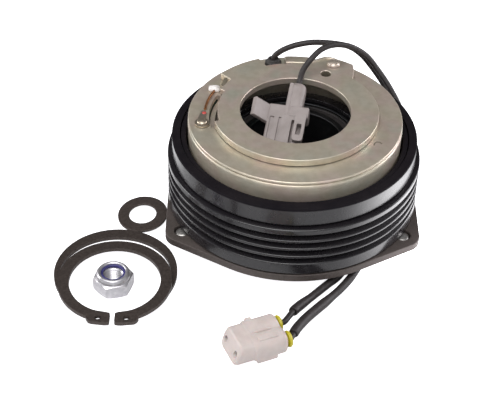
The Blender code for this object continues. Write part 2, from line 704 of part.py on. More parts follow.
def rivets():
    """Ear rivets through armature and springs, flange rivets through springs and hub."""
    low = SPRING_BOTTOM - GAP
    for index, azimuth in enumerate(EAR_AZIMUTHS):
        profile = [(0.0, low - 0.6), (3.6, low - 0.6), (3.6, low), (2.5, low)]
        profile += dome(2.5, ARMATURE_TOP - 1.2, 0.8)
        revolve("armature_rivet_%d" % (index + 1), profile, ROUND, STEEL,
                centre=(*polar(EAR_CENTRE_R, azimuth), 0.0))
    bottom = HUB_FLANGE_BOTTOM - GAP
    top = SPRING_TOP + GAP
    for index, azimuth in enumerate(hub_azimuths()):
        profile = [(0.0, bottom - 0.7), (3.2, bottom - 0.7), (3.2, bottom), (2.0, bottom),
                   (2.0, top), (3.2, top), (3.2, top + 0.8), (0.0, top + 0.8)]
        revolve("flange_rivet_%d" % (index + 1), profile, ROUND, STEEL,
                centre=(*polar(HUB_EAR_CENTRE_R, azimuth), 0.0))


def hub():
    """Three-eared flange pressed over a boss with a splined bore and a nut pocket."""
    outline = eared_disc(HUB_FLANGE_R, HUB_EAR_CENTRE_R, HUB_EAR_R, hub_azimuths(), 2)
    holes = [circle(HUB_COLLAR_R + GAP, COARSE)]
    holes += [circle(2.3, ROUND, polar(HUB_EAR_CENTRE_R, azimuth)) for azimuth in hub_azimuths()]
    prism("hub_flange", outline, holes, HUB_FLANGE_BOTTOM, HUB_FLANGE_TOP, PHOSPHATE)
    profile = [
        (0.0, 0.0), (HUB_COLLAR_R, 0.0), (HUB_COLLAR_R, 4.6), (HUB_BOSS_R, 5.4),
        (HUB_BOSS_R, HUB_TOP), (0.0, HUB_TOP)]
    boss = revolve("hub_boss", profile, COARSE, PHOSPHATE)
    pocket = rectangle(0.0, NUT_POCKET_R, -1.0, 3.2)
    boolean(boss, revolve("nut_pocket_cutter", pocket, COARSE, PHOSPHATE))
    bore = []
    for tooth in range(SPLINE_TEETH):
        start = 360.0 * tooth / SPLINE_TEETH
        bore += arc(SPLINE_INNER_R, start, start + 9.0, 1)
        bore += arc(SPLINE_OUTER_R, start + 12.0, start + 20.0, 1)
    boolean(boss, cutters("spline_cutter", [bore], 2.0, HUB_TOP + 1.0))


# ---------------------------------------------------------------- loose fitting kit

def oval(centre, radii, start, end, steps):
    """Points along an arc of an upright ellipse, both ends included."""
    return [(centre[0] + x * radii[0], centre[1] + y * radii[1])
            for x, y in arc(1.0, start, end, steps)]


def circlip(name, centre, outer_radii, inner_radii, drop, bottom):
    """External retaining ring: slightly oval bow with two drilled lugs beside its gap."""
    inner_centre = (centre[0], centre[1] - drop)
    outer = oval(centre, outer_radii, -64.0, 244.0, 34)
    inner = oval(inner_centre, inner_radii, 262.0, -82.0, 34)
    gap_x = centre[0] + CIRCLIP_GAP_SHIFT
    root_y = inner_centre[1] - inner_radii[1]
    lug = [(9.5, 2.2), (8.3, 4.7), (3.0, 5.2), (0.9, 4.8), (0.9, 0.3)]
    left = [(gap_x - x, root_y - y) for x, y in lug]
    right = [(gap_x + x, root_y - y) for x, y in reversed(lug)]
    holes = [circle(1.2, 10, (gap_x + side * 5.0, root_y - 2.6)) for side in (-1, 1)]
    prism(name, outer + left + inner + right, holes, bottom, bottom + CIRCLIP_THICKNESS,
          BLACKENED)


def shim_washer():
    """Washer with its low edge on the floor and its high edge towards the ear."""
    ring = rectangle(WASHER_BORE_R, WASHER_R, 0.0, WASHER_THICKNESS)
    washer = revolve("shim_washer", ring, COARSE, BLACKENED)
    tilt = math.radians(WASHER_TILT)
    height = FLOOR_GAP + WASHER_R * math.sin(tilt)
    axis = Vector((*polar(1.0, WASHER_TILT_AZIMUTH - 90.0), 0.0))
    washer.matrix_world = (
        Matrix.Translation(Vector((*WASHER_CENTRE, height)) * MM)
        @ Matrix.Rotation(tilt, 4, axis))


def fitting_kit():
    circlip("coil_circlip", *COIL_CIRCLIP, FLOOR_GAP)
    circlip("bearing_circlip", *BEARING_CIRCLIP, FLOOR_GAP + CIRCLIP_THICKNESS + GAP)
    shim_washer()
    lock_nut()


def lock_nut():
    """Hexagon nut with a raised collar that holds a friction insert."""
    corner = NUT_ACROSS_FLATS / math.sqrt(3.0)
    hexagon = circle(corner, 6)
    low, hex_top = FLOOR_GAP, 5.4
    bore, insert_r, collar_top = 3.4, 5.0, 7.6
    nut = prism("lock_nut", hexagon, [circle(bore, 24)], low, hex_top, ZINC)
    collar = revolve(
        "collar_tool", [(insert_r, hex_top - 1.0), (6.0, hex_top - 1.0), (6.0, collar_top - 0.8),
                        (5.4, collar_top), (insert_r, collar_top)], 24, ZINC)
    boolean(nut, collar, "UNION")
    insert = rectangle(bore + 0.3, insert_r - GAP, hex_top + GAP, collar_top - 0.5)
    ring = revolve("lock_nut_insert", insert, 24, NYLON)
    for piece in (nut, collar, ring):
        piece.location = Vector((*NUT_CENTRE, 0.0)) * MM
        piece.rotation_euler = (0.0, 0.0, math.radians(14.0))


def place_kit():
    """Move every piece and cutter together, so that the origin is under the middle of the kit."""
    for item in bpy.data.objects:
        if item.parent is None:
            item.location += Vector((*SHAFT_PLACE, 0.0)) * MM


# ---------------------------------------------------------------- build

clear_scene()

CHROMATE = material("chromate_steel", (0.62, 0.58, 0.48), 0.35, 0.9)
STEEL = material("plain_steel", (0.62, 0.61, 0.60), 0.35, 0.9)
BRIGHT = material("bearing_steel", (0.70, 0.70, 0.72), 0.2, 1.0)
ZINC = material("zinc_plate", (0.78, 0.79, 0.82), 0.25, 1.0)
COPPER = material("copper_wire", (0.55, 0.27, 0.12), 0.4, 0.9)
ENAMEL = material("black_enamel", (0.012, 0.012, 0.014), 0.32, 0.0)
PHOSPHATE = material("phosphated_steel", (0.16, 0.14, 0.13), 0.55, 0.6)
BLACKENED = material("blackened_spring_steel", (0.045, 0.038, 0.034), 0.45, 0.5)
PLASTIC = material("bobbin_nylon", (0.10, 0.10, 0.09), 0.5, 0.0)
EPOXY = material("green_potting", (0.02, 0.05, 0.035), 0.4, 0.0)
RUBBER = material("black_rubber", (0.02, 0.018, 0.018), 0.7, 0.0)
SLEEVE = material("black_sleeve", (0.03, 0.028, 0.028), 0.55, 0.0)
PLUG_WHITE = material("ivory_nylon", (0.82, 0.80, 0.76), 0.45, 0.0)
PLUG_GREY = material("grey_nylon", (0.52, 0.47, 0.46), 0.5, 0.0)
SEAL = material("mustard_silicone", (0.52, 0.45, 0.05), 0.55, 0.0)
NYLON = material("blue_insert", (0.12, 0.10, 0.30), 0.4, 0.0)

mounting_plate()
coil_shell()
coil_inside()
tab_rivet()
earth_connection()
lead_exit()
coil_lead_wire()
supply_wire()
two_way_plug()
supply_connector()
rotor()
pulley_rim()
bearing()
armature_plate()
leaf_springs()
rivets()
hub()
fitting_kit()
place_kit()
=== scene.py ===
"""Looks of an electromagnetic compressor clutch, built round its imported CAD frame.

Every piece is drawn in millimetres about the shaft axis, and piece() turns it into metres and moves
it to where the frame has that axis. Heights come from the frame's own nodes.
"""
import math

import bmesh
import bpy
from mathutils import Matrix, Vector


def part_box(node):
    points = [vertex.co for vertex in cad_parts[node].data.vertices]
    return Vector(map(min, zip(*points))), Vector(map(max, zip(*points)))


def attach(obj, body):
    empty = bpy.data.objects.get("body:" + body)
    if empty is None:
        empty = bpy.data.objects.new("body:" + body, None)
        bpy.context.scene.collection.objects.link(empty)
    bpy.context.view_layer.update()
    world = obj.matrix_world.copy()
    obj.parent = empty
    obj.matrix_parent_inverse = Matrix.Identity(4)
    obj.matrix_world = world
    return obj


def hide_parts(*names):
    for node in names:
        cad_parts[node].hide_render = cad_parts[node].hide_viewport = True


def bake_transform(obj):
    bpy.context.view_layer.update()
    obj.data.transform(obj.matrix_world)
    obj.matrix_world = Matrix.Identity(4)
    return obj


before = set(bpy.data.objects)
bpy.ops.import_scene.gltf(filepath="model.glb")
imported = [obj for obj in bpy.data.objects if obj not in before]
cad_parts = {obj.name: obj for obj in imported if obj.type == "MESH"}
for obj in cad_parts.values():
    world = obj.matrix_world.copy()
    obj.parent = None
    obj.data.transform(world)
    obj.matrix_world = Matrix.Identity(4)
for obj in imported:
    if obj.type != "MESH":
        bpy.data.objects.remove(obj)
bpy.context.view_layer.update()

MM = 0.001
LARGE, MEDIUM, SMALL = 192, 96, 40          # segments of turned pieces
GAP = 0.3                                   # clearance between pieces that touch
SHAFT = (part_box("pulley_rim")[0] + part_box("pulley_rim")[1]) / 2.0
SHAFT.z = 0.0


def heights(node):
    """Bottom and top of a CAD node in millimetres."""
    low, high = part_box(node)
    return low.z / MM, high.z / MM


PLATE_BOTTOM, PLATE_TOP = heights("mounting_plate")
SHELL_BOTTOM, SHELL_TOP = heights("coil_shell")
FRICTION_FACE, RIM_TOP = heights("pulley_rim")
BEARING_BOTTOM, BEARING_TOP = heights("bearing_inner_ring")
ARMATURE_BOTTOM, ARMATURE_TOP = heights("armature_plate")
FLANGE_BOTTOM, FLANGE_TOP = heights("hub_flange")
SPRING_BOTTOM, SPRING_TOP = heights("leaf_spring_1")
HUB_TOP = heights("hub_boss")[1]

# mounting plate and field coil
PLATE_BORE_R = 20.3
PLATE_R = 30.5
PLATE_WINDOW_R = 28.5
PLATE_WING_R = 36.0
PLATE_TAB_R = 37.8
TAB_AZIMUTH = 63.5
TAB_RIVET_R = 33.5
TAB_HOLE_R = 26.6
SHELL_R = 39.3
SHELL_WALL = 1.8
SHELL_INNER_R = 29.5
SHELL_INNER_WALL_R = 31.2
WINDOW_START, WINDOW_END = 157.0, 195.0
GROMMET_AZIMUTH = 103.5
GROMMET_CENTRE_R = 34.0
EARTH_AZIMUTH = 190.3
EARTH_R = 34.5

# rotor and pulley
CREST_R = 47.0
RIM_R = 45.3
GROOVE_PITCH = 3.56
GROOVE_COUNT = 4
GROOVE_DEPTH = 2.7
GROOVE_HALF_MOUTH = 1.35
GROOVE_HALF_ROOT = 0.35
FIRST_GROOVE_Z = 25.26
CREST_TOP = 28.7
RECESS_R = 44.3
ROTOR_R = 42.0
ROTOR_OPENING_R = 40.0
ROTOR_NECK_R = 28.5
FRICTION_THICKNESS = 4.7

# bearing
BEARING_BORE_R = 17.5
BEARING_R = 26.0
INNER_RING_R = 20.1
OUTER_RING_R = 23.4

# armature and hub
ARMATURE_R = 47.1
ARMATURE_BORE_R = 27.5
EAR_CENTRE_R = 47.0
EAR_R = 6.3
EAR_AZIMUTHS = (-150.0, -30.0, 90.0)
HUB_EAR_CENTRE_R = 20.0
HUB_EAR_LEAD = 60.0
HUB_AZIMUTHS = [azimuth + HUB_EAR_LEAD for azimuth in EAR_AZIMUTHS]
HUB_COLLAR_R = 12.0
HUB_BOSS_R = 9.2
NUT_POCKET_R = 8.4

# leads, plug and connector
WIRE_R = 1.1
SLEEVE_R = 1.5
SLEEVE_FRONT_R = 1.8                        # where nothing turns above it
SLEEVE_BORE_R = 1.32
RUN_Z = 1.6
PLUG_CENTRE = Vector((-13.6, -76.6, 5.0))
PLUG_AZIMUTH = 204.0
PLUG_LENGTH, PLUG_WIDTH, PLUG_HEIGHT = 19.0, 15.0, 9.0
PLUG_PITCH = 8.2
CAVITY_R = 2.6
CONNECTOR_TAIL = Vector((1.6, 16.6, 47.2))
CONNECTOR_MOUTH = Vector((-3.0, -8.1, 35.2))
CONNECTOR_WING_PIVOT = (-9.2, 0.0, 2.4)
CONNECTOR_WING_TILT = 45.0

# loose kit
COIL_CIRCLIP = ((-64.3, -39.3), (22.4, 23.2), (20.2, 20.2), 1.4)
BEARING_CIRCLIP = ((-64.0, -45.9), (20.6, 21.0), (16.5, 17.05), 0.15)
CIRCLIP_GAP_SHIFT = 0.6
WASHER_CENTRE = (-56.6, -6.9)
WASHER_R, WASHER_BORE_R, WASHER_THICKNESS = 9.5, 5.2, 0.9
WASHER_TILT, WASHER_TILT_AZIMUTH = 6.0, 50.0
NUT_CENTRE = (-64.5, -46.0)
NUT_ACROSS_FLATS = 13.0
NUT_TURN = 14.0


# ---- outlines and places

def polar(radius, azimuth):
    angle = math.radians(azimuth)
    return (radius * math.cos(angle), radius * math.sin(angle))


def at(radius, azimuth, z=0.0):
    """The move from the shaft axis to a place beside it."""
    return Matrix.Translation((*polar(radius, azimuth), z))


def turn(degrees, axis="Z"):
    return Matrix.Rotation(math.radians(degrees), 4, axis)


def arc(radius, start, end, steps, centre=(0.0, 0.0)):
    """Points along a circular arc, both ends included."""
    points = []
    for step in range(steps + 1):
        x, y = polar(radius, start + (end - start) * step / steps)
        points.append((centre[0] + x, centre[1] + y))
    return points


def circle(radius, count, centre=(0.0, 0.0)):
    return arc(radius, 0.0, 360.0, count, centre)[:-1]


def arc_slot(inner, outer, start, end, steps):
    return arc(outer, start, end, steps) + arc(inner, end, start, steps)


def strip(start, end, half_width, steps=14):
    """A straight strip with round ends."""
    heading = math.degrees(math.atan2(end[1] - start[1], end[0] - start[0]))
    far = arc(half_width, heading - 90.0, heading + 90.0, steps, end)
    near = arc(half_width, heading + 90.0, heading + 270.0, steps, start)
    return far + near


def eared_disc(radius, ear_centre_r, ear_r, azimuths, steps):
    """A disc with ears, each joined to it by its straight common tangents."""
    spread = math.degrees(math.acos((radius - ear_r) / ear_centre_r))
    points = []
    for azimuth in azimuths:
        points += arc(ear_r, azimuth - spread, azimuth + spread, 20, polar(ear_centre_r, azimuth))
        points += arc(radius, azimuth + spread, azimuth + 120.0 - spread, steps)
    return points


def rounded(corners, steps=4):
    """A closed polygon whose corners (x, y, reach) are rounded over that reach."""
    points = []
    for index, corner in enumerate(corners):
        here = Vector(corner[:2])
        reach = corner[2] if len(corner) > 2 else 0.0
        if reach == 0.0:
            points.append(tuple(here))
            continue
        before = Vector(corners[index - 1][:2])
        after = Vector(corners[(index + 1) % len(corners)][:2])
        start = here + (before - here).normalized() * reach
        end = here + (after - here).normalized() * reach
        for step in range(steps + 1):
            t = step / steps
            points.append(tuple(start * (1 - t) ** 2 + here * 2 * t * (1 - t) + end * t**2))
    return points


def split_long(outline, limit, count):
    """The same outline with each side longer than the limit cut into equal steps."""
    points = []
    for index, start in enumerate(outline):
        end = outline[(index + 1) % len(outline)]
        steps = count if math.dist(start, end) > limit else 1
        for step in range(steps):
            t = step / steps
            points.append((start[0] + (end[0] - start[0]) * t, start[1] + (end[1] - start[1]) * t))
    return points


def rectangle(inner, outer, bottom, top, reach=0.0):
    return rounded([(inner, bottom, reach), (outer, bottom, reach), (outer, top, reach),
                    (inner, top, reach)])


def smooth_path(points, steps):
    """Catmull-Rom curve through the given points."""
    knots = [Vector(p) for p in points]
    knots = [2 * knots[0] - knots[1]] + knots + [2 * knots[-1] - knots[-2]]
    path = []
    for index in range(1, len(knots) - 2):
        before, start, end, after = knots[index - 1:index + 3]
        for step in range(steps):
            t = step / steps
            slope_in = (end - before) / 2.0
            slope_out = (after - start) / 2.0
            path.append(
                start * (2 * t**3 - 3 * t**2 + 1) + slope_in * (t**3 - 2 * t**2 + t)
                + end * (3 * t**2 - 2 * t**3) + slope_out * (t**3 - t**2))
    path.append(knots[-2])
    return path


# ---- meshes

def slab(outline, holes, bottom, top):
    """The solid between two heights inside an outline and outside its holes."""
    bm = bmesh.new()
    edges = []
    for loop in [outline] + holes:
        verts = [bm.verts.new((x, y, bottom)) for x, y in loop]
        for index, vert in enumerate(verts):
            edges.append(bm.edges.new((vert, verts[(index + 1) % len(verts)])))
    filled = bmesh.ops.triangle_fill(bm, edges=edges, use_beauty=True, use_dissolve=False)
    faces = [item for item in filled["geom"] if isinstance(item, bmesh.types.BMFace)]
    raised = bmesh.ops.extrude_face_region(bm, geom=faces)
    upper = [item for item in raised["geom"] if isinstance(item, bmesh.types.BMVert)]
    bmesh.ops.translate(bm, vec=(0.0, 0.0, top - bottom), verts=upper)
    bmesh.ops.recalc_face_normals(bm, faces=bm.faces)
    return bm


def turned(profile, segments=SMALL):
    """Turn a closed (radius, height) profile round the z axis."""
    bm = bmesh.new()
    rings = []
    for radius, height in profile:
        if radius < 1e-6:
            rings.append([bm.verts.new((0.0, 0.0, height))] * segments)
        else:
            rings.append([bm.verts.new((x, y, height)) for x, y in circle(radius, segments)])
    for index, ring in enumerate(rings):
        following = rings[(index + 1) % len(rings)]
        for corner in range(segments):
            after = (corner + 1) % segments
            around = (ring[corner], ring[after], following[after], following[corner])
            verts = list(dict.fromkeys(around))
            if len(verts) > 2:
                bm.faces.new(verts)
    bmesh.ops.recalc_face_normals(bm, faces=bm.faces)
    return bm


def block(low, high, reach=0.4, segments=3):
    """A box from corner to corner with rounded edges."""
    bm = bmesh.new()
    bmesh.ops.create_cube(bm, size=1.0)
    bmesh.ops.scale(bm, vec=[high[i] - low[i] for i in range(3)], verts=bm.verts)
    bmesh.ops.translate(bm, vec=[(high[i] + low[i]) / 2.0 for i in range(3)], verts=bm.verts)
    bmesh.ops.bevel(bm, geom=list(bm.edges), offset=reach, segments=segments, profile=0.5,
                    affect="EDGES")
    return bm


def soften(bm, reach, segments=2, angle=35.0):
    """Round the edges of a mesh that are sharper than an angle."""
    limit = math.radians(angle)
    sharp = [edge for edge in bm.edges if edge.is_manifold and edge.calc_face_angle() > limit]
    bmesh.ops.bevel(bm, geom=sharp, offset=reach, segments=segments, profile=0.5,
                    affect="EDGES", clamp_overlap=True)
    return bm


def square_rings(bm, path, radii, sides):
    """A ring of vertices square to the path at each of its points."""
    rings = []
    side = Vector((0.31, -0.22, 0.92))
    for index, point in enumerate(path):
        ahead = path[min(index + 1, len(path) - 1)] - path[max(index - 1, 0)]
        ahead.normalize()
        side = (side - ahead * side.dot(ahead)).normalized()
        other = ahead.cross(side)
        ring = []
        for corner in range(sides):
            angle = math.tau * corner / sides
            offset = side * math.cos(angle) + other * math.sin(angle)
            ring.append(bm.verts.new(point + offset * radii[index]))
        rings.append(ring)
    return rings


def skin(bm, rings):
    """Faces between each ring of vertices and the next."""
    for first, second in zip(rings, rings[1:]):
        for corner in range(len(first)):
            after = (corner + 1) % len(first)
            bm.faces.new((first[corner], first[after], second[after], second[corner]))


def closed_skin(bm, rings):
    skin(bm, rings)
    bm.faces.new(reversed(rings[0]))
    bm.faces.new(rings[-1])
    return bm


def swept(path, radii, sides=16):
    """A closed round bar along a path, with one radius for each point."""
    bm = bmesh.new()
    return closed_skin(bm, square_rings(bm, path, radii, sides))


def hollow(path, bore, radii, sides=20):
    """A tube: out along the path at its own radii, round the end and back at the bore's."""
    bm = bmesh.new()
    outside_r = list(radii)
    for end in (0, -1):
        outside_r[end] -= (outside_r[end] - bore) / 2.0
    outside = square_rings(bm, path, outside_r, sides)
    inside = square_rings(bm, path, [bore] * len(path), sides)
    skin(bm, outside + inside[::-1] + outside[:1])
    return bm


def as_mesh(name, bm):
    """The mesh of a bmesh that isn't needed any more."""
    mesh = bpy.data.meshes.new(name)
    bm.to_mesh(mesh)
    bm.free()
    return mesh


def added(name, data):
    """A new object in the scene."""
    item = bpy.data.objects.new(name, data)
    bpy.context.scene.collection.objects.link(item)
    return item


def combine(first, second, operation):
    """One bmesh from an exact Boolean of two."""
    target, tool = [added("boolean", as_mesh("boolean", bm)) for bm in (first, second)]
    modifier = target.modifiers.new("boolean", "BOOLEAN")
    modifier.operation = operation
    modifier.solver = "EXACT"
    modifier.object = tool
    bpy.context.view_layer.update()
    evaluated = target.evaluated_get(bpy.context.evaluated_depsgraph_get())
    result = bmesh.new()
    result.from_mesh(evaluated.to_mesh())
    evaluated.to_mesh_clear()
    for item in (target, tool):
        mesh = item.data
        bpy.data.objects.remove(item, do_unlink=True)
        bpy.data.meshes.remove(mesh)
    return result


def cut(bm, *tools):
    for tool in tools:
        bm = combine(bm, tool, "DIFFERENCE")
    return bm


def join(bm, *others):
    for other in others:
        bm = combine(bm, other, "UNION")
    return bm


def gather(*parts):
    """Separate closed solids kept in one mesh."""
    mesh = bpy.data.meshes.new("gather")
    result = bmesh.new()
    for part in parts:
        part.to_mesh(mesh)
        part.free()
        result.from_mesh(mesh)
    bpy.data.meshes.remove(mesh)
    return result


def moved(bm, matrix):
    bmesh.ops.transform(bm, matrix=matrix, verts=bm.verts)
    return bm


def piece(name, bm, finish, body="stator", node=None, place=None, angle=35.0):
    """Turn a bmesh in millimetres into a piece that stands for a CAD node, riding on the body named
    by a string and fixed in place for any other body.
    """
    bmesh.ops.remove_doubles(bm, verts=bm.verts, dist=1e-4)
    if place is not None:
        moved(bm, place)
    moved(bm, Matrix.Translation(SHAFT) @ Matrix.Scale(MM, 4))
    bmesh.ops.recalc_face_normals(bm, faces=bm.faces)
    mesh = as_mesh(name, bm)
    mesh.shade_smooth()
    mesh.set_sharp_from_angle(angle=math.radians(angle))
    result = added(name, mesh)
    weighted = result.modifiers.new("even_faces", "WEIGHTED_NORMAL")
    weighted.keep_sharp = True
    material, slot_name = finish
    mesh.materials.append(material)
    if node:
        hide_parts(node)
    if isinstance(body, str):
        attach(result, body)
    else:
        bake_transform(result)


def fine(node, bm, finish, body="stator", **settings):
    """A piece named after the CAD node that it stands for."""
    piece(node + "_fine", bm, finish, body, node, **settings)


# ---- materials

class Surface:
    """A Principled material with short helpers for its procedural nodes."""

    def __init__(self, name, roughness=0.5, metallic=0.0, **inputs):
        self.name = name
        self.material = bpy.data.materials.new(name)
        self.material.use_nodes = True
        self.tree = self.material.node_tree
        self.shader = self.tree.nodes["Principled BSDF"]
        self.shader.inputs["Roughness"].default_value = roughness
        self.shader.inputs["Metallic"].default_value = metallic
        for key, value in inputs.items():
            self.shader.inputs[key.replace("_", " ")].default_value = value
        self.place = self.node("ShaderNodeTexCoord").outputs["Object"]

    def node(self, kind, links=None, **settings):
        made = self.tree.nodes.new(kind)
        for key, value in settings.items():
            setattr(made, key, value)
        for key, value in (links or {}).items():
            if isinstance(value, bpy.types.NodeSocket):
                self.tree.links.new(value, made.inputs[key])
            else:
                made.inputs[key].default_value = value
        return made

    def noise(self, size, detail=3.0, roughness=0.55, vector=None):
        """Noise whose lumps are about size millimetres."""
        return self.node("ShaderNodeTexNoise", {
            "Vector": vector or self.place, "Scale": 1.0 / (size * MM), "Detail": detail,
            "Roughness": roughness}).outputs["Fac"]

    def math(self, operation, first, second):
        return self.node("ShaderNodeMath", {0: first, 1: second}, operation=operation).outputs[0]

    def ramp(self, factor, *stops):
        made = self.node("ShaderNodeValToRGB", {"Fac": factor})
        elements = made.color_ramp.elements
        while len(elements) < len(stops):
            elements.new(0.5)
        for element, (position, colour) in zip(elements, stops):
            element.position = position
            element.color = (*colour, 1.0)
        return made.outputs["Color"]

    def mix(self, factor, first, second, blend="MIX"):
        inputs = {0: factor, 6: first, 7: second}
        inputs = {key: (*value, 1.0) if isinstance(value, tuple) else value
                  for key, value in inputs.items()}
        return self.node("ShaderNodeMix", inputs, data_type="RGBA", blend_type=blend).outputs[2]

    def spread(self, factor, low, high):
        """A factor from 0 to 1 mapped to a range."""
        made = self.node("ShaderNodeMapRange", {"Value": factor, "To Min": low, "To Max": high})
        return made.outputs["Result"]

    def near(self, point, reach):
        """1 at a point given in millimetres from the shaft's foot, 0 beyond reach."""
        centre = SHAFT + Vector(point) * MM
        away = self.node("ShaderNodeVectorMath", {0: self.place, 1: centre}, operation="DISTANCE")
        links = {"Value": away.outputs["Value"], "From Min": reach * MM, "From Max": 0.0}
        made = self.node("ShaderNodeMapRange", links, interpolation_type="SMOOTHSTEP")
        return made.outputs["Result"]

    def bore_side_shade(self, base, shade_tint):
        """A colour with a dark green painted shade on one side of the bore's wall."""
        patch = self.near((-14.0, 5.0, 34.0), 16.0)
        return self.mix(self.math("MULTIPLY", patch, 0.8), base, shade_tint)

    def round_the_shaft(self):
        """Coordinates (radius, height) that make noise run in rings, as turning does."""
        offset = self.node("ShaderNodeVectorMath", {0: self.place, 1: SHAFT}, operation="SUBTRACT")
        parts = self.node("ShaderNodeSeparateXYZ", {0: offset.outputs[0]})
        flat = self.node("ShaderNodeCombineXYZ", {0: parts.outputs[0], 1: parts.outputs[1]})
        radius = self.node("ShaderNodeVectorMath", {0: flat.outputs[0]}, operation="LENGTH")
        return self.node(
            "ShaderNodeCombineXYZ", {0: radius.outputs["Value"], 1: parts.outputs[2]}).outputs[0]

    def set(self, **values):
        """Link outputs to the shader's inputs."""
        for key, value in values.items():
            self.tree.links.new(value, self.shader.inputs[key.replace("_", " ")])

    def finish(self, colour, roughness, height, strength, distance):
        """Link colour, roughness and a bump, and give the material with its slot's name."""
        bump = self.node("ShaderNodeBump", {"Height": height, "Strength": strength,
                                            "Distance": distance * MM})
        self.set(Base_Color=colour, Roughness=roughness, Normal=bump.outputs["Normal"])
        return self.material, self.name


def chromate():
    """Thin yellow chromate on pressed steel: pale olive with pink and green drifts."""
    made = Surface("chromate_steel", roughness=0.42, metallic=0.62)
    drift = made.noise(16.0, detail=2.0)
    base = made.ramp(drift, (0.30, (0.55, 0.52, 0.43)), (0.46, (0.60, 0.535, 0.435)),
                     (0.58, (0.605, 0.505, 0.44)), (0.70, (0.54, 0.525, 0.44)))
    stain = made.ramp(made.noise(3.0, detail=5.0), (0.38, (0.90, 0.89, 0.86)),
                      (0.62, (1.0, 1.0, 1.0)))
    base = made.mix(1.0, base, stain, "MULTIPLY")
    blush = made.near((*polar(31.6, 105.0), PLATE_TOP), 4.6)
    base = made.mix(made.math("MULTIPLY", blush, 0.75), base, (0.62, 0.36, 0.33))
    coppery = made.near((*polar(34.6, EARTH_AZIMUTH - 6.0), SHELL_TOP), 3.6)
    base = made.mix(made.math("MULTIPLY", coppery, 0.5), base, (0.60, 0.40, 0.35))
    return made.finish(base, made.spread(made.noise(1.2, detail=4.0), 0.30, 0.46),
                       made.noise(0.35, detail=2.0), 0.12, 0.05)


def steel():
    """Plated steel of rivets and springs, satin with fine speckle."""
    made = Surface("plain_steel", metallic=0.9)
    base = made.ramp(made.noise(1.5, detail=5.0), (0.35, (0.40, 0.385, 0.37)),
                     (0.65, (0.62, 0.60, 0.575)))
    passivated = made.near((*polar(EARTH_R, EARTH_AZIMUTH), SHELL_TOP), 12.0)
    return made.finish(made.mix(passivated, base, (0.52, 0.44, 0.34)),
                       made.spread(made.noise(0.8), 0.28, 0.45), made.noise(0.3), 0.12, 0.04)


def bearing_steel():
    """Ground steel with fine rings from the wheel."""
    made = Surface("bearing_steel", metallic=1.0)
    rings = made.noise(0.12, detail=2.0, vector=made.round_the_shaft())
    base = made.ramp(rings, (0.3, (0.05, 0.05, 0.053)), (0.7, (0.09, 0.09, 0.095)))
    # painted shade: the bearing rings get a dark green tint on one side of the bore
    return made.finish(made.bore_side_shade(base, (0.020, 0.036, 0.030)),
                       made.spread(made.noise(2.0), 0.34, 0.48), rings, 0.15, 0.02)


def enamel():
    """Semi-gloss black coating with a faint orange-peel ripple."""
    made = Surface("black_enamel", Coat_Weight=0.3, Coat_Roughness=0.12, Coat_IOR=1.6)
    base = made.ramp(made.noise(9.0, detail=3.0), (0.3, (0.008, 0.007, 0.009)),
                     (0.7, (0.013, 0.011, 0.013)))
    parts = made.node("ShaderNodeSeparateXYZ", {0: made.place})
    level = made.node("ShaderNodeMapRange", {
        "Value": parts.outputs[2], "From Min": (RIM_TOP - 1.1) * MM,
        "From Max": (RIM_TOP - 0.7) * MM})
    matt = level.outputs["Result"]
    made.set(Coat_Weight=made.math("SUBTRACT", 0.3, made.math("MULTIPLY", matt, 0.3)),
             Specular_IOR_Level=made.math("SUBTRACT", 0.45, made.math("MULTIPLY", matt, 0.42)))
    roughness = made.math("ADD", made.spread(made.noise(3.0, detail=4.0), 0.22, 0.34),
                          made.math("MULTIPLY", matt, 0.35))
    # painted shade: the rotor gets a dark green tint on one side of the bore
    return made.finish(made.bore_side_shade(base, (0.014, 0.026, 0.022)), roughness,
                       made.noise(0.9, detail=1.0), 0.05, 0.04)


def phosphate():
    """Grey-brown phosphate: a fine crystalline mottle with lighter rubbed patches."""
    made = Surface("phosphated_steel", metallic=0.35)
    grain = made.noise(0.5, detail=5.0, roughness=0.7)
    base = made.ramp(grain, (0.30, (0.062, 0.050, 0.047)), (0.55, (0.098, 0.079, 0.074)),
                     (0.75, (0.135, 0.111, 0.104)))
    patches = made.ramp(made.noise(7.0, detail=3.0), (0.35, (0.82, 0.84, 0.80)),
                        (0.65, (1.0, 1.0, 1.0)))
    return made.finish(made.mix(1.0, base, patches, "MULTIPLY"), made.spread(grain, 0.45, 0.68),
                       grain, 0.2, 0.05)


def mottled(name, tone, stops, worn, roughness, grain, strength, distance, **inputs):
    """A finish whose colour, roughness and bump each follow one noise (size, detail, roughness)."""
    made = Surface(name, **inputs)
    return made.finish(made.ramp(made.noise(*tone), *stops),
                       made.spread(made.noise(*worn), *roughness),
                       made.noise(*grain), strength, distance)


def moulded(name, low, high, roughness, slot_name=None, **inputs):
    """Moulded plastic or rubber: a soft tone drift and a fine spark-eroded grain.

    A finish that the record has no slot for names the nearest one.
    """
    material, own_name = mottled(
        name, (4.0, 3.0), ((0.35, low), (0.65, high)), (0.7,), (roughness - 0.06, roughness + 0.08),
        (0.18, 2.0), 0.12, 0.03, **inputs)
    return material, slot_name or own_name


CHROMATE = chromate()
STEEL = steel()
BEARING = bearing_steel()
ZINC = mottled("zinc_plate", (1.8, 4.0), ((0.3, (0.52, 0.51, 0.54)), (0.7, (0.72, 0.70, 0.73))),
               (0.6,), (0.26, 0.42), (0.5, 4.0), 0.16, 0.05, metallic=0.8)
COPPER = mottled("copper_wire", (1.0,), ((0.3, (0.30, 0.115, 0.045)), (0.7, (0.50, 0.23, 0.10))),
                 (0.5,), (0.3, 0.45), (0.25,), 0.2, 0.03,
                 metallic=0.85, Coat_Weight=0.6, Coat_Roughness=0.2)
ENAMEL = enamel()
PHOSPHATE = phosphate()
BLACKENED = mottled(
    "blackened_steel", (0.9, 5.0, 0.65),
    ((0.3, (0.052, 0.040, 0.036)), (0.7, (0.095, 0.076, 0.067))), (1.6, 4.0), (0.36, 0.55),
    (0.9, 5.0, 0.65), 0.15, 0.04, metallic=0.55)
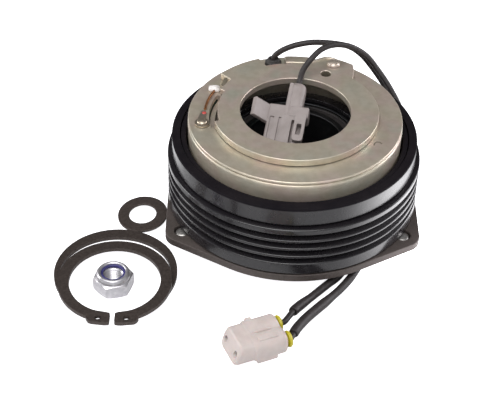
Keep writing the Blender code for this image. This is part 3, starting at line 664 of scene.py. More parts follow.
SLEEVE = mottled(
    "black_sleeve", (1.1, 5.0, 0.7), ((0.35, (0.014, 0.011, 0.011)), (0.7, (0.034, 0.028, 0.028))),
    (1.1, 5.0, 0.7), (0.42, 0.62), (0.7, 3.0), 0.3, 0.06, Specular_IOR_Level=0.4)
BOBBIN = moulded("bobbin_nylon", (0.07, 0.07, 0.06), (0.11, 0.11, 0.10), 0.5)
POTTING = moulded("green_potting", (0.006, 0.018, 0.011), (0.014, 0.036, 0.024), 0.34)
RUBBER = moulded("black_rubber", (0.013, 0.011, 0.011), (0.028, 0.024, 0.023), 0.6)
IVORY = moulded("ivory_nylon", (0.50, 0.43, 0.405), (0.555, 0.485, 0.46), 0.4,
                Subsurface_Weight=0.15, Subsurface_Scale=0.002)
GREY = moulded("grey_nylon", (0.245, 0.21, 0.20), (0.29, 0.25, 0.24), 0.5)
SEAL = moulded("mustard_silicone", (0.42, 0.36, 0.012), (0.50, 0.43, 0.02), 0.5)
INSERT = moulded("blue_insert", (0.03, 0.03, 0.12), (0.06, 0.055, 0.20), 0.35)
SEALANT = moulded("white_sealant", (0.66, 0.62, 0.60), (0.80, 0.76, 0.74), 0.35, "ivory_nylon")
# dark colour painted as the shade inside the tab hole, the locating notch and the stamped hook's
# groove
SHADE = moulded("painted_recess_shade", (0.10, 0.085, 0.06), (0.16, 0.135, 0.10), 0.6, "chromate_steel")
RED = moulded("red_mark", (0.45, 0.06, 0.05), (0.55, 0.12, 0.10), 0.45, "plain_steel")


# ---- field coil

def mounting_plate():
    outline = (
        arc(PLATE_WINDOW_R, WINDOW_START, WINDOW_END, 20)
        + arc(PLATE_R, WINDOW_END, 360.0 + 44.0, 110)
        + [polar(34.6, 49.0)]
        + arc(PLATE_TAB_R, 53.5, 68.0, 12)
        + [polar(34.4, 73.5)]
        + arc(PLATE_R, 80.0, 110.5, 18)
        + arc(PLATE_WING_R, 112.0, 141.0, 20)
        + arc(PLATE_R, 142.0, WINDOW_START - 1.0, 8))
    holes = [
        circle(PLATE_BORE_R, LARGE),
        circle(1.8, 24, polar(TAB_RIVET_R, TAB_AZIMUTH)),
        circle(2.0, 24, polar(TAB_HOLE_R, TAB_AZIMUTH))]
    plate = soften(slab(outline, holes, PLATE_BOTTOM, PLATE_TOP), 0.35, segments=3)
    fine("mounting_plate", plate, CHROMATE)


def coil_shell():
    """Deep-drawn cup with a rolled bead under its shoulder and a window for the winding's end."""
    web = SHELL_TOP - SHELL_WALL
    outer_wall = SHELL_R - SHELL_WALL
    wall = [
        (SHELL_R, SHELL_BOTTOM, 0.3), (SHELL_R, 40.4), (SHELL_R + 0.12, 40.7),
        (SHELL_R + 0.12, 42.3, 0.4), (SHELL_R - 0.7, 42.7, 0.1), (SHELL_R - 0.7, 43.05, 0.1),
        (SHELL_R, 43.25, 0.15), (SHELL_R, SHELL_TOP, 0.55)]
    profile = rounded(
        [(SHELL_INNER_R, SHELL_BOTTOM, 0.3), (SHELL_INNER_WALL_R, SHELL_BOTTOM, 0.3),
         (SHELL_INNER_WALL_R, web, 0.5), (outer_wall, web, 0.5), (outer_wall, SHELL_BOTTOM, 0.3)]
        + wall + [(SHELL_INNER_R, SHELL_TOP, 0.6)])
    window = slab(
        arc_slot(SHELL_INNER_R - 1.0, SHELL_INNER_WALL_R + 0.4, WINDOW_START, WINDOW_END, 24), [],
        web - 0.8, SHELL_TOP + 1.0)
    shell = cut(turned(profile, LARGE), window)
    fine("coil_shell", shell, CHROMATE)


def coil_inside():
    """Bobbin, wound copper and the resin that closes the cup."""
    inner = SHELL_INNER_WALL_R + GAP
    outer = SHELL_R - SHELL_WALL - GAP
    low, high = heights("coil_bobbin")
    wall = 1.0
    bobbin = rounded([
        (inner, low, 0.2), (outer, low, 0.2), (outer, low + wall, 0.2), (inner + wall, low + wall),
        (inner + wall, high - wall), (outer, high - wall, 0.2), (outer, high, 0.2),
        (inner, high, 0.2)], 2)
    fine("coil_bobbin", turned(bobbin, MEDIUM), BOBBIN)
    wire_r = 0.5
    bottom, top = low + wall + GAP, high - wall - GAP
    turns = int((top - bottom) / (2.0 * wire_r))
    winding = [(inner + wall + GAP, top), (inner + wall + GAP, bottom)]
    for index in range(turns):
        middle = bottom + wire_r * (2 * index + 1)
        winding += [(outer - GAP - wire_r + x, middle + z) for x, z in arc(wire_r, -80, 80, 4)]
    fine("coil_winding", turned(winding, MEDIUM), COPPER)
    bottom, top = heights("coil_potting")
    potting = rectangle(inner, outer, bottom, top, 0.3)
    fine("coil_potting", turned(potting, MEDIUM), POTTING)


def rivet_profile(foot, shank, head_r, base, height):
    """Shank and domed head, from the axis at the foot round to the axis at the crown."""
    return ([(0.0, foot), (shank, foot), (shank, base)]
            + [(head_r * math.cos(t), base + 0.15 + (height - 0.15) * math.sin(t))
               for t in [math.radians(10.0 * k) for k in range(9)]] + [(0.0, base + height)])


def coil_details():
    """Tab rivet and rolled edge, and dark pieces painted as the shade in the tab hole, the locating
    notch and the hook stamped into the shell.
    """
    rivet = turned(rivet_profile(PLATE_BOTTOM, 1.5, 2.6, PLATE_TOP + 0.1, 1.7))
    fine("tab_rivet", rivet, CHROMATE, place=at(TAB_RIVET_R, TAB_AZIMUTH))
    edge = [polar(31.4, 79.0), polar(33.2, 75.8), polar(34.8, 73.0), polar(36.4, 70.2),
            polar(36.9, 67.0), polar(37.1, 63.5)]
    path = smooth_path([(x, y, PLATE_TOP - 0.1) for x, y in edge], 6)
    swell = [0.75 * math.sin(math.pi * (k + 1) / (len(path) + 1)) ** 0.3 for k in range(len(path))]
    piece("tab_rolled_edge", swept(path, swell), CHROMATE)
    # painted shade: a dark sleeve lining the tab hole
    hole_shade = turned(rectangle(1.75, 2.1, PLATE_BOTTOM + 0.1, PLATE_TOP - 0.3))
    piece("tab_hole_shade", hole_shade, SHADE, place=at(TAB_HOLE_R, TAB_AZIMUTH))
    # painted shade: a dark strip lying in the locating notch
    notch_shade = slab(strip(polar(30.9, 149.6), polar(31.9, 144.2), 0.8), [], PLATE_TOP - 0.5,
                 PLATE_TOP + 0.04)
    piece("plate_notch_shade", soften(notch_shade, 0.03), SHADE)
    # painted shade: a dark bar along the stamped hook's groove
    turns = [(34.6, -27.2), (33.4, -26.6), (32.4, -27.6), (32.2, -29.4), (32.6, -31.0)]
    hook_shade = smooth_path([(*polar(r, a), SHELL_TOP - 0.1) for r, a in turns], 5)
    piece("hook_groove_shade", swept(hook_shade, [0.3] * len(hook_shade), sides=10), SHADE)


def earth_connection():
    """Ring lug with its rivet, the winding's bare end, and the dab that holds it."""
    bottom, top = heights("earth_terminal")
    centre = polar(EARTH_R, EARTH_AZIMUTH)
    heading = EARTH_AZIMUTH - 90.0
    tongue = polar(EARTH_R - 0.9, EARTH_AZIMUTH - 10.5)
    outline = (arc(2.7, heading + 30.0, heading + 330.0, 32, centre)
               + arc(1.1, heading - 90.0, heading + 90.0, 10, tongue))
    lug = soften(slab(outline, [circle(1.3, 20, centre)], bottom, top), 0.15)
    fine("earth_terminal", lug, STEEL)
    rivet = turned(rivet_profile(bottom, 1.0, 1.9, top + 0.1, 1.0))
    fine("earth_rivet", rivet, STEEL, place=at(EARTH_R, EARTH_AZIMUTH))
    height = SHELL_TOP + GAP + 0.5
    path = smooth_path([(*polar(33.2, azimuth), height) for azimuth in
                        (176.0, 173.0, 167.0, 161.0, 155.0)], 6)
    end = swept(path, [0.5] * len(path), sides=12)
    fine("coil_end_lead", end, COPPER)
    dab = bmesh.new()
    bmesh.ops.create_uvsphere(dab, u_segments=32, v_segments=20, radius=1.0)
    for vert in dab.verts:
        lump = 1.0 + 0.12 * math.sin(3.0 * vert.co.x + 2.0) * math.cos(4.0 * vert.co.y)
        vert.co = Vector((vert.co.x * 2.4, vert.co.y * 1.9, vert.co.z * 1.2)) * lump
    piece("sealant_dab", dab, SEALANT, place=at(33.9, 152.6, SHELL_TOP + 0.7))
    mark = bmesh.new()
    bmesh.ops.create_uvsphere(mark, u_segments=20, v_segments=12, radius=0.8)
    piece("inspection_mark", mark, RED,
          place=at(33.4, 180.6, top) @ Matrix.Scale(0.35, 4, (0, 0, 1)))


def lead_exit():
    """Rubber grommet round the lead and the folded clamp beside it."""
    bottom, top = heights("lead_grommet")
    bore = WIRE_R + 0.25
    profile = rounded([(bore, bottom, 0.1), (3.2, bottom, 0.3), (3.2, bottom + 1.5, 0.5),
                       (2.5, bottom + 2.1, 0.3), (2.1, top, 0.4), (bore, top, 0.1)])
    fine("lead_grommet", turned(profile), RUBBER,
         place=at(GROMMET_CENTRE_R, GROMMET_AZIMUTH))
    bottom, top = heights("lead_clamp")
    clamp = slab(arc_slot(PLATE_R + GAP, 35.2, 80.5, 96.0, 16), [], bottom, top)
    fine("lead_clamp", soften(clamp, 0.7, segments=4), CHROMATE)


# ---- leads and connectors

def plug_matrix():
    return Matrix.Translation(PLUG_CENTRE) @ turn(PLUG_AZIMUTH)


def behind_plug(side, distance):
    """Point on the axis of one plug cavity, the given distance behind the housing."""
    return plug_matrix() @ Vector((-PLUG_LENGTH / 2.0 - distance, side * PLUG_PITCH / 2.0, 0.0))


def lead(name, wire_node, points, first, last):
    """An insulated wire along a smooth path, with a sleeve from one control point to another."""
    steps = 8
    path = smooth_path(points, steps)
    piece(name + "_fine", swept(path, [WIRE_R] * len(path)), SLEEVE, "stator", wire_node)
    covered = path[int(first * steps):int(last * steps) + 1]
    radii = []
    for point in covered:
        clear = math.hypot(point.x, point.y) - EAR_CENTRE_R - 5.5
        share = min(max(clear / 4.0, 0.0), 1.0) if point.y < 0.0 else 0.0
        radii.append(SLEEVE_R + (SLEEVE_FRONT_R - SLEEVE_R) * share)
    fine(name + "_sleeve", hollow(covered, SLEEVE_BORE_R, radii), SLEEVE)


def leads():
    x, y = polar(GROMMET_CENTRE_R, GROMMET_AZIMUTH)
    coil_lead = [
        (x, y, SHELL_TOP + 0.8), (x, y, 46.8), (x + 0.8, y - 0.1, 48.9), (-4.0, 32.8, 51.6),
        (1.6, 33.4, 53.6), (8.8, 34.5, 54.0), (19.4, 37.0, 51.3), (25.6, 38.4, 46.8),
        (31.0, 38.8, 39.9), (36.6, 39.0, 31.0), (41.0, 38.9, 22.0), (42.6, 38.6, 12.0),
        (41.6, 37.6, 5.0), (39.6, 35.4, 2.1), (37.2, 31.5, RUN_Z), (34.0, 22.0, RUN_Z),
        (31.0, 9.0, RUN_Z), (28.6, -8.0, RUN_Z), (24.4, -25.0, RUN_Z), (17.4, -38.7, RUN_Z),
        (12.4, -44.6, RUN_Z), (6.6, -51.5, 1.9), (1.2, -58.6, 3.1), (-1.4, -63.6, 4.3)]
    coil_lead += [behind_plug(-1.0, distance) for distance in (3.6, 2.0, -1.0)]
    lead("coil_lead", "coil_lead_wire", coil_lead, 14.0, 22.5)
    supply = [
        (1.0, 13.2, 45.5), (1.8, 17.4, 47.6), (3.0, 20.0, 50.8), (5.9, 22.4, 54.3),
        (10.0, 26.0, 56.5), (15.2, 29.6, 56.2), (21.2, 32.2, 53.8), (27.4, 34.0, 48.9),
        (32.4, 35.2, 41.9), (38.0, 35.6, 33.0), (43.2, 34.6, 23.0), (46.0, 33.6, 13.0),
        (45.6, 33.0, 5.4), (43.4, 31.0, 2.1), (41.0, 27.6, RUN_Z), (38.0, 19.0, RUN_Z),
        (35.0, 7.0, RUN_Z), (33.0, -7.0, RUN_Z), (29.4, -22.0, RUN_Z), (22.6, -37.6, RUN_Z),
        (18.4, -44.9, RUN_Z), (13.5, -51.7, 2.0), (8.3, -58.8, 3.0), (4.2, -64.6, 3.8),
        (0.8, -70.6, 4.6)]
    supply += [behind_plug(1.0, distance) for distance in (2.2, 1.0, -1.0)]
    lead("supply_lead", "supply_wire", supply, 14.0, 24.5)


def plug_section(width, height, reach, waist):
    """Rounded rectangle across the plug, pinched at its middle by the waist depth."""
    half_w, half_h = width / 2.0, height / 2.0
    corners = [(half_w, -half_h), (half_w, half_h), (-half_w, half_h), (-half_w, -half_h)]
    outline = rounded([(*corner, reach) for corner in corners], 6)
    pinch = 1.6
    return [(u, v - math.copysign(waist, v) * math.exp(-(u / pinch) ** 2)) if abs(v) > half_h / 2
            else (u, v) for u, v in split_long(outline, reach, 16)]


def lofted(sections):
    """Closed solid through cross-sections (x, outline, lean) that share a point count."""
    bm = bmesh.new()
    rings = [[bm.verts.new((x - lean * v, u, v)) for u, v in outline]
             for x, outline, lean in sections]
    closed_skin(bm, rings)
    bmesh.ops.recalc_face_normals(bm, faces=bm.faces)
    return bm


def along_x(bm, x, y):
    """Lay a turned piece's axis along +X, at a place."""
    return moved(bm, Matrix.Translation((x, y, 0.0)) @ turn(90.0, "Y"))


def two_way_plug():
    """Ivory housing: twin barrels behind, a narrower nose with two sockets, a lock ramp."""
    half = PLUG_LENGTH / 2.0
    width, height = PLUG_WIDTH, PLUG_HEIGHT - 0.6
    nose_w, nose_h, step, edge = 13.8, 7.8, 2.6, 0.5
    stations = [
        (-half, width - 1.6, height - 1.6, 3.0, 0.7, 0.0),
        (-half + edge, width - 0.6, height - 0.6, 3.3, 0.9, 0.0),
        (-half + 2 * edge, width, height, 3.6, 1.0, 0.0), (-0.6, width, height, 3.6, 1.0, 0.0),
        (step - 1.2, width, height, 3.2, 0.3, 0.0), (step - 0.4, width, height, 3.1, 0.0, 0.0),
        (step, nose_w + 0.5, nose_h + 0.3, 3.0, 0.0, 0.0),
        (step + 0.3, nose_w, nose_h, 2.9, 0.0, 0.0),
        (half - 1.6, nose_w, nose_h, 2.9, 0.0, 0.30),
        (half - 0.9, nose_w - 0.5, nose_h - 0.4, 2.9, 0.0, 0.38),
        (half - 0.5, nose_w - 1.6, nose_h - 1.4, 2.6, 0.0, 0.38)]
    housing = lofted([(x, plug_section(w, h, r, waist), lean)
                      for x, w, h, r, waist, lean in stations])
    tools = []
    for side in (-1.0, 1.0):
        centre = side * PLUG_PITCH / 2.0
        tools.append(along_x(turned(rectangle(0.0, CAVITY_R, 0.0, 13.0)), -half - 1.0, centre))
        tools.append(along_x(turned(rectangle(0.0, 1.15, 0.0, 9.0)), half - 6.0, centre))
    ramp = block((-6.4, width / 2.0 - 4.6, 2.4), (0.6, width / 2.0 - 2.2, 4.6), 0.35)
    tier = block((-5.6, width / 2.0 - 2.0, -4.2), (2.0, width / 2.0 - 0.05, -0.8), 0.4)
    key = block((-1.4, -width / 2.0 + 0.05, -0.2), (1.0, -width / 2.0 + 1.6, 3.9), 0.4)
    rib = block((-6.0, -0.4, 2.6), (0.4, 0.4, 3.8), 0.25)
    housing = cut(join(housing, ramp, tier, key, rib), *tools)
    fine("plug_housing", housing, IVORY, place=plug_matrix(), angle=30.0)
    for letter, side in (("a", 1.0), ("b", -1.0)):
        centre = side * PLUG_PITCH / 2.0
        outer, bore = CAVITY_R - 0.15, WIRE_R + 0.1
        profile = [(bore, -2.2), (outer - 0.5, -2.2), (outer + 0.15, -1.9)]
        for rib_z in (-1.3, 0.5, 2.0):
            flange = 0.55 if rib_z < -1.0 else 0.0
            profile += [(outer + flange, rib_z), (outer + flange - 0.15, rib_z + 0.5),
                        (outer - 0.5, rib_z + 0.8), (outer - 0.5, rib_z + 1.1)]
        profile += [(outer, 3.4), (outer, 4.0), (bore, 4.0)]
        fine("plug_seal_" + letter, along_x(turned(profile), -half, centre), SEAL,
             place=plug_matrix())


def connector_matrix():
    """Frame of the supply connector: +Y from its mouth to its tail, +Z out of its top."""
    along = (CONNECTOR_TAIL - CONNECTOR_MOUTH).normalized()
    across = along.cross(Vector((0.0, 0.0, 1.0))).normalized()
    axes = Matrix((across, along, across.cross(along))).transposed().to_4x4()
    return Matrix.Translation(CONNECTOR_MOUTH) @ axes


def supply_connector():
    """One-way connector: ribbed body, round tail, a raised wing and a latch on its right."""
    body = block((-9.0, 0.0, -4.2), (4.6, 16.4, 3.2), 0.7, 4)
    shoulder = block((-1.6, 11.6, -3.4), (6.0, 16.4, 3.4), 0.8, 4)
    tail = block((-3.3, 14.0, -3.2), (3.3, 27.0, 3.2), 2.5, 6)
    spine = block((-2.9, 12.0, 1.2), (-1.5, 26.0, 3.3), 0.35)
    tilt = Matrix.Translation(CONNECTOR_WING_PIVOT) @ turn(CONNECTOR_WING_TILT, "Y")
    wing = moved(block((-7.0, 8.4, -0.9), (1.4, 15.8, 0.9), 0.3), tilt)
    grooves = [block((x, -1.0, 2.5), (x + width, 11.0, 4.0), 0.2)
               for x, width in ((-7.9, 1.6), (-4.6, 1.0))]
    slot = block((0.3, 0.8, 0.4), (1.7, 10.4, 4.0), 0.3)
    recess = block((2.6, -1.0, 1.6), (5.0, 8.6, 4.0), 0.3)
    cavity = block((-4.6, -1.0, -2.8), (1.4, 10.0, 0.2), 0.3)
    bore = moved(turned(rectangle(0.0, 2.0, 0.0, 14.0)),
                 Matrix.Translation((0.0, 29.0, 0.0)) @ turn(90.0, "X"))
    made = join(body, shoulder, tail, spine, wing)
    made = cut(made, *grooves, slot, recess, cavity, bore)
    fine("supply_connector", made, GREY, place=connector_matrix(), angle=30.0)
    outline = rounded([(-2.0, -11.0, 1.4), (2.0, -11.0, 1.4), (2.0, 0.0, 0.8), (-2.0, 0.0, 0.8)], 6)
    window = rounded([(-0.9, -8.6, 0.6), (0.9, -8.6, 0.6), (0.9, -4.0, 0.6), (-0.9, -4.0, 0.6)])
    latch = soften(slab(outline, [window], -0.8, 0.8), 0.3, segments=3)
    pivot = connector_matrix() @ Matrix.Translation((3.6, 12.0, 4.6))
    fine("supply_connector_latch", latch, GREY, "latch", place=pivot)


# ---- rotor, pulley and bearing

def rotor():
    """U-section rotor with its bearing seat, slotted friction disc and outer cylinder."""
    seat_r = BEARING_R + GAP
    lip = BEARING_TOP + GAP
    disc_top = FRICTION_FACE + FRICTION_THICKNESS
    top = heights("rotor")[1]
    profile = rounded([
        (24.0, 11.2, 0.2), (24.6, FRICTION_FACE, 0.2), (ROTOR_R, FRICTION_FACE, 0.2),
        (ROTOR_R, top, 0.3), (ROTOR_OPENING_R, top, 0.7), (ROTOR_OPENING_R, disc_top, 1.0),
        (ROTOR_NECK_R, disc_top, 1.0), (ROTOR_NECK_R, lip + 1.4, 0.6), (24.6, lip + 1.4, 0.4),
        (24.6, lip, 0.1), (seat_r, lip), (seat_r, disc_top), (24.0, disc_top, 0.2)])
    slots = [slab(arc_slot(35.4, 37.2, 60.0 * k - 24.0, 60.0 * k + 24.0, 16), [],
                  FRICTION_FACE - 1.0, disc_top + 1.0) for k in range(6)]
    made = cut(turned(profile, LARGE), gather(*slots))
    fine("rotor", made, ENAMEL, "pulley")


def pulley_rim():
    """Belt ring: four V grooves with rounded crests, a recess and the smooth upper band."""
    inner = ROTOR_R + GAP
    root = CREST_R - GROOVE_DEPTH
    profile = [(inner, FRICTION_FACE, 0.1), (CREST_R, FRICTION_FACE, 0.5)]
    for index in reversed(range(GROOVE_COUNT)):
        middle = FIRST_GROOVE_Z - index * GROOVE_PITCH
        profile += [
            (CREST_R, middle - GROOVE_HALF_MOUTH, 0.3), (root, middle - GROOVE_HALF_ROOT, 0.15),
            (root, middle + GROOVE_HALF_ROOT, 0.15), (CREST_R, middle + GROOVE_HALF_MOUTH, 0.3)]
    profile += [
        (CREST_R, CREST_TOP, 0.5), (RECESS_R, CREST_TOP + 0.3, 0.1),
        (RECESS_R, CREST_TOP + 1.1, 0.1), (RIM_R, CREST_TOP + 1.1, 0.25), (RIM_R, RIM_TOP, 0.45),
        (inner, RIM_TOP, 0.1)]
    fine("pulley_rim", turned(rounded(profile), LARGE), ENAMEL, "pulley")


def bearing():
    inner = rectangle(BEARING_BORE_R, INNER_RING_R, BEARING_BOTTOM, BEARING_TOP, 0.5)
    fine("bearing_inner_ring", turned(inner, LARGE), BEARING)
    outer = rectangle(OUTER_RING_R, BEARING_R, BEARING_BOTTOM, BEARING_TOP, 0.5)
    fine("bearing_outer_ring", turned(outer, LARGE), BEARING, "pulley")
    for name in ("top", "bottom"):
        node = "bearing_seal_" + name
        low, high = heights(node)
        start, end = INNER_RING_R + 0.15, OUTER_RING_R - 0.15
        profile = rounded([
            (start, low, 0.1), (end, low, 0.1), (end, high, 0.2), (end - 0.7, high, 0.1),
            (end - 0.9, high - 0.25, 0.1), (start + 0.9, high - 0.25, 0.1),
            (start + 0.7, high, 0.1), (start, high, 0.2)])
        fine(node, turned(profile, LARGE), RUBBER, "pulley")


# ---- armature and hub

def armature():
    outline = eared_disc(ARMATURE_R, EAR_CENTRE_R, EAR_R, EAR_AZIMUTHS, 56)
    holes = [circle(ARMATURE_BORE_R, MEDIUM)]
    holes += [circle(3.0, 24, polar(EAR_CENTRE_R, azimuth)) for azimuth in EAR_AZIMUTHS]
    holes += [arc_slot(38.6, 40.2, a + 28.0, a + 92.0, 24) for a in EAR_AZIMUTHS]
    plate = soften(slab(outline, holes, ARMATURE_BOTTOM, ARMATURE_TOP), 0.3, segments=3)
    fine("armature_plate", plate, PHOSPHATE, "armature")
    low = SPRING_BOTTOM - GAP
    for index, azimuth in enumerate(EAR_AZIMUTHS):
        profile = [(0.0, low - 0.6), (3.2, low - 0.6), (3.6, low - 0.25), (3.6, low), (2.5, low)]
        crown = rivet_profile(low, 2.5, 2.5, ARMATURE_TOP - 1.2, 0.8)[2:]
        made = turned(profile + crown)
        fine("armature_rivet_%d" % (index + 1), made, STEEL, "armature",
             place=at(EAR_CENTRE_R, azimuth))


def leaf_springs():
    """Flat springs between the hub's ears and the armature's."""
    for index, (ear, hub_ear) in enumerate(zip(EAR_AZIMUTHS, HUB_AZIMUTHS)):
        outer = polar(EAR_CENTRE_R, ear)
        inner = polar(HUB_EAR_CENTRE_R, hub_ear)
        outline = split_long(strip(inner, outer, 3.8), 5.0, 12)
        holes = [circle(2.8, 24, outer), circle(2.3, 24, inner)]
        leaf = soften(slab(outline, holes, SPRING_BOTTOM, SPRING_TOP), 0.12)
        start = SHAFT + Vector((*inner, SPRING_BOTTOM)) * MM
        end = SHAFT + Vector((*outer, SPRING_BOTTOM)) * MM
        fine("leaf_spring_%d" % (index + 1), leaf, STEEL, ("hub", "armature", start, end))


def hub():
    """Three-eared flange on a boss with a splined bore and a pocket for the shaft nut."""
    outline = eared_disc(15.5, HUB_EAR_CENTRE_R, 4.5, HUB_AZIMUTHS, 10)
    holes = [circle(HUB_COLLAR_R + 0.1, MEDIUM)]
    holes += [circle(2.3, 24, polar(HUB_EAR_CENTRE_R, azimuth)) for azimuth in HUB_AZIMUTHS]
    flange = soften(slab(outline, holes, FLANGE_BOTTOM, FLANGE_TOP), 0.25)
    fine("hub_flange", flange, PHOSPHATE, "hub")
    profile = rounded([
        (0.0, 3.2), (NUT_POCKET_R, 3.2, 0.4), (NUT_POCKET_R, 0.0, 0.4), (HUB_COLLAR_R, 0.0, 0.5),
        (HUB_COLLAR_R, 4.6, 0.2), (HUB_BOSS_R, 5.4, 0.6), (HUB_BOSS_R, HUB_TOP, 0.7),
        (0.0, HUB_TOP)])
    teeth = 16
    bore = []
    for tooth in range(teeth):
        start = 360.0 * tooth / teeth
        bore += arc(4.7, start, start + 9.0, 3) + arc(5.4, start + 12.0, start + 20.0, 3)
    boss = cut(turned(profile, MEDIUM), slab(bore, [], 2.0, HUB_TOP + 1.0))
    fine("hub_boss", boss, PHOSPHATE, "hub")
    bottom, top = FLANGE_BOTTOM - GAP, SPRING_TOP + GAP
    for index, azimuth in enumerate(HUB_AZIMUTHS):
        profile = rounded([
            (0.0, bottom - 0.7), (3.2, bottom - 0.7, 0.3), (3.2, bottom, 0.1), (2.0, bottom),
            (2.0, top), (3.2, top, 0.1), (3.2, top + 0.8, 0.4), (0.0, top + 0.8)])
        fine("flange_rivet_%d" % (index + 1), turned(profile), STEEL, "hub",
             place=at(HUB_EAR_CENTRE_R, azimuth))


# ---- loose fitting kit

def oval(centre, radii, start, end, steps):
    """Points along an arc of an upright ellipse, both ends included."""
    return [(centre[0] + x * radii[0], centre[1] + y * radii[1])
            for x, y in arc(1.0, start, end, steps)]


def circlip(node, centre, outer_radii, inner_radii, drop):
    """External retaining ring: slightly oval bow with two drilled lugs beside its gap."""
    inner_centre = (centre[0], centre[1] - drop)
    gap_x = centre[0] + CIRCLIP_GAP_SHIFT
    root_y = inner_centre[1] - inner_radii[1]
    outer = oval(centre, outer_radii, -64.0, 244.0, 120)
    inner = oval(inner_centre, inner_radii, 262.0, -82.0, 120)
    lug = rounded([(9.5, 2.0, 0.8), (8.3, 4.3, 1.2), (3.0, 5.0, 1.0), (0.9, 4.8, 0.6),
                   (0.9, 0.3, 0.2)])
    left = [(gap_x - x, root_y - y) for x, y in lug]
    right = [(gap_x + x, root_y - y) for x, y in reversed(lug)]
    holes = [circle(1.2, 24, (gap_x + side * 5.0, root_y - 2.6)) for side in (-1, 1)]
    bottom, top = heights(node)
    made = soften(slab(outer + left + inner + right, holes, bottom, top), 0.25, segments=3)
    fine(node, made, BLACKENED)


def shim_washer():
    height = heights("shim_washer")[0] + WASHER_R * math.sin(math.radians(WASHER_TILT))
    axis = Vector((*polar(1.0, WASHER_TILT_AZIMUTH - 90.0), 0.0))
    place = Matrix.Translation((*WASHER_CENTRE, height)) @ turn(WASHER_TILT, axis)
    ring = turned(rectangle(WASHER_BORE_R, WASHER_R, 0.0, WASHER_THICKNESS, 0.2), MEDIUM)
    fine("shim_washer", ring, BLACKENED, place=place)


def lock_nut():
    """Hexagon with chamfered corners, threaded bore, crimped collar and a friction insert."""
    corner = NUT_ACROSS_FLATS / math.sqrt(3.0)
    low, top = heights("lock_nut")
    hex_top = 5.4
    hexagon = slab(circle(corner, 6), [], low, hex_top)
    flat_r = NUT_ACROSS_FLATS / 2.0
    barrel = turned([
        (0.0, low - 0.5), (flat_r - 0.35, low - 0.05), (corner + 0.2, low + 0.75),
        (corner + 0.2, hex_top - 0.75), (flat_r - 0.35, hex_top + 0.05), (0.0, hex_top + 0.5)],
        MEDIUM)
    nut = combine(hexagon, barrel, "INTERSECT")
    collar = turned(rounded([
        (0.0, hex_top - 1.0), (6.2, hex_top - 1.0), (6.2, top - 1.0, 0.9), (5.2, top, 0.6),
        (4.4, top - 0.5, 0.2), (4.4, hex_top + 0.3), (0.0, hex_top + 0.3)]), MEDIUM)
    nut = join(nut, collar)
    pitch, root_r, crest_r = 1.0, 4.0, 3.4
    thread = [(0.0, low - 1.0), (root_r + 0.6, low - 1.0), (root_r, low + 0.2)]
    height = low + 0.2
    while height + pitch < hex_top:
        thread += [(crest_r, height + pitch / 2.0), (root_r, height + pitch)]
        height += pitch
    thread += [(root_r, hex_top + 1.0), (0.0, hex_top + 1.0)]
    nut = cut(nut, turned(thread, MEDIUM))
    place = Matrix.Translation((*NUT_CENTRE, 0.0)) @ turn(NUT_TURN)
    fine("lock_nut", nut, ZINC, place=place, angle=25.0)
    ring = rectangle(3.6, 4.35, hex_top + 0.35, top - 0.75, 0.25)
    fine("lock_nut_insert", turned(ring, MEDIUM), INSERT, place=place)


# ---- carried-over CAD nodes

def finish_cad_nodes():
    """Procedural finishes on the hidden nodes that the CAD already shapes well enough."""
    finishes = {"supply_terminal": STEEL, "plug_terminal_a": STEEL, "plug_terminal_b": STEEL,
                "bearing_cage": BOBBIN}
    finishes.update((name, BEARING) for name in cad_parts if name.startswith("ball_"))
    for name, (material, slot_name) in finishes.items():
        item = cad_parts[name]
        item.data.materials.clear()
        item.data.materials.append(material)


# ---- studio

def floor():
    """Pale paper on a light table: its glow, brightest beside the clutch, lights what stands on it.

    The camera sees the paper burnt out to white.
    """
    bm = bmesh.new()
    bmesh.ops.create_grid(bm, x_segments=40, y_segments=40, size=3.0)
    item = added("floor", as_mesh("floor", bm))
    item.location.z = -0.00015
    made = Surface("pale_paper", roughness=0.9)
    tone = made.ramp(made.noise(300.0), (0.3, (0.78, 0.78, 0.79)), (0.7, (0.82, 0.82, 0.83)))
    glow = made.math("ADD", made.math("MULTIPLY", made.near((74.0, -24.0, 0.0), 62.0), 4.2),
                     made.math("MULTIPLY", made.near((-62.0, 26.0, 0.0), 34.0), 0.7))
    seen = made.node("ShaderNodeLightPath").outputs["Is Camera Ray"]
    glow = made.math("ADD", made.math("MULTIPLY", seen, 0.9), made.math("ADD", glow, 0.05))
    made.set(Base_Color=tone, Emission_Strength=glow)
    made.shader.inputs["Emission Color"].default_value = (0.99, 0.98, 1.0, 1.0)
    item.data.materials.append(made.material)


def area_light(name, offset, width, height, watts, colour=(1.0, 1.0, 1.0)):
    """A soft light that stands off from the clutch and faces it."""
    aim = SHAFT + Vector((0.0, 0.0, 0.03))
    data = bpy.data.lights.new(name, "AREA")
    data.shape = "RECTANGLE"
    data.size, data.size_y = width, height
    data.energy = watts
    data.color = colour
    item = added(name, data)
    item.location = aim + Vector(offset)
    item.rotation_euler = (aim - item.location).to_track_quat("-Z", "Y").to_euler()


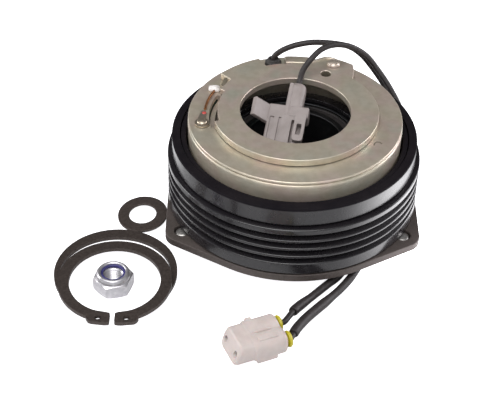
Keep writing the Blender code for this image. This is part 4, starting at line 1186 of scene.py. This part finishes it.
def studio():
    world = bpy.data.worlds.new("studio")
    bpy.context.scene.world = world
    world.use_nodes = True
    tree = world.node_tree
    direction = tree.nodes.new("ShaderNodeTexCoord").outputs["Generated"]
    dark = tree.nodes.new("ShaderNodeVectorMath")
    dark.operation = "DOT_PRODUCT"
    dark.inputs[1].default_value = Vector((0.0, 0.8, 0.6))
    tree.links.new(direction, dark.inputs[0])
    shade = tree.nodes.new("ShaderNodeMapRange")
    for key, value in (("From Min", 0.2), ("From Max", 0.8), ("To Min", 0.42), ("To Max", 0.06)):
        shade.inputs[key].default_value = value
    tree.links.new(dark.outputs["Value"], shade.inputs["Value"])
    background = tree.nodes["Background"]
    background.inputs["Color"].default_value = (0.97, 0.98, 1.0, 1.0)
    tree.links.new(shade.outputs["Result"], background.inputs["Strength"])
    area_light("overhead", (-0.15, -0.25, 0.9), 0.7, 0.7, 6.2)
    area_light("front_soft", (0.0, -0.65, 0.7), 0.6, 0.4, 2.4)
    area_light("left_strip", (-0.7, 0.15, 0.25), 0.25, 0.5, 2.5)
    area_light("right_strip", (0.7, 0.25, 0.25), 0.3, 0.5, 3.5, (0.97, 0.96, 1.0))
    bpy.context.scene.view_settings.view_transform = "Standard"


def camera():
    """Above the coil's mounting plate, looking down and back, as fitted to the round edges."""
    elevation, roll = math.radians(39.22), math.radians(-1.17)
    distance, shift_right, shift_up = 511.1, -19.44, -33.44
    focal_px, image_width, sensor = 1400.0, 481.0, 36.0
    back = Vector((0.0, -math.cos(elevation), math.sin(elevation)))
    right = Vector((1.0, 0.0, 0.0))
    up = Vector((0.0, math.sin(elevation), math.cos(elevation)))
    place = back * distance + right * shift_right + up * shift_up + Vector((0.0, 0.0, PLATE_TOP))
    across = right * math.cos(roll) - up * math.sin(roll)
    above = right * math.sin(roll) + up * math.cos(roll)
    data = bpy.data.cameras.new("camera")
    data.sensor_width = sensor
    data.lens = focal_px * sensor / image_width
    data.clip_start, data.clip_end = 0.01, 20.0
    item = added("camera", data)
    item.matrix_world = (Matrix.Translation(SHAFT + place * MM)
                         @ Matrix((across, above, back)).transposed().to_4x4())
    bpy.context.scene.camera = item


# ---- build

mounting_plate()
coil_shell()
coil_inside()
coil_details()
earth_connection()
lead_exit()
leads()
two_way_plug()
supply_connector()
rotor()
pulley_rim()
bearing()
armature()
leaf_springs()
hub()
circlip("coil_circlip", *COIL_CIRCLIP)
circlip("bearing_circlip", *BEARING_CIRCLIP)
shim_washer()
lock_nut()
finish_cad_nodes()
floor()
studio()
camera()
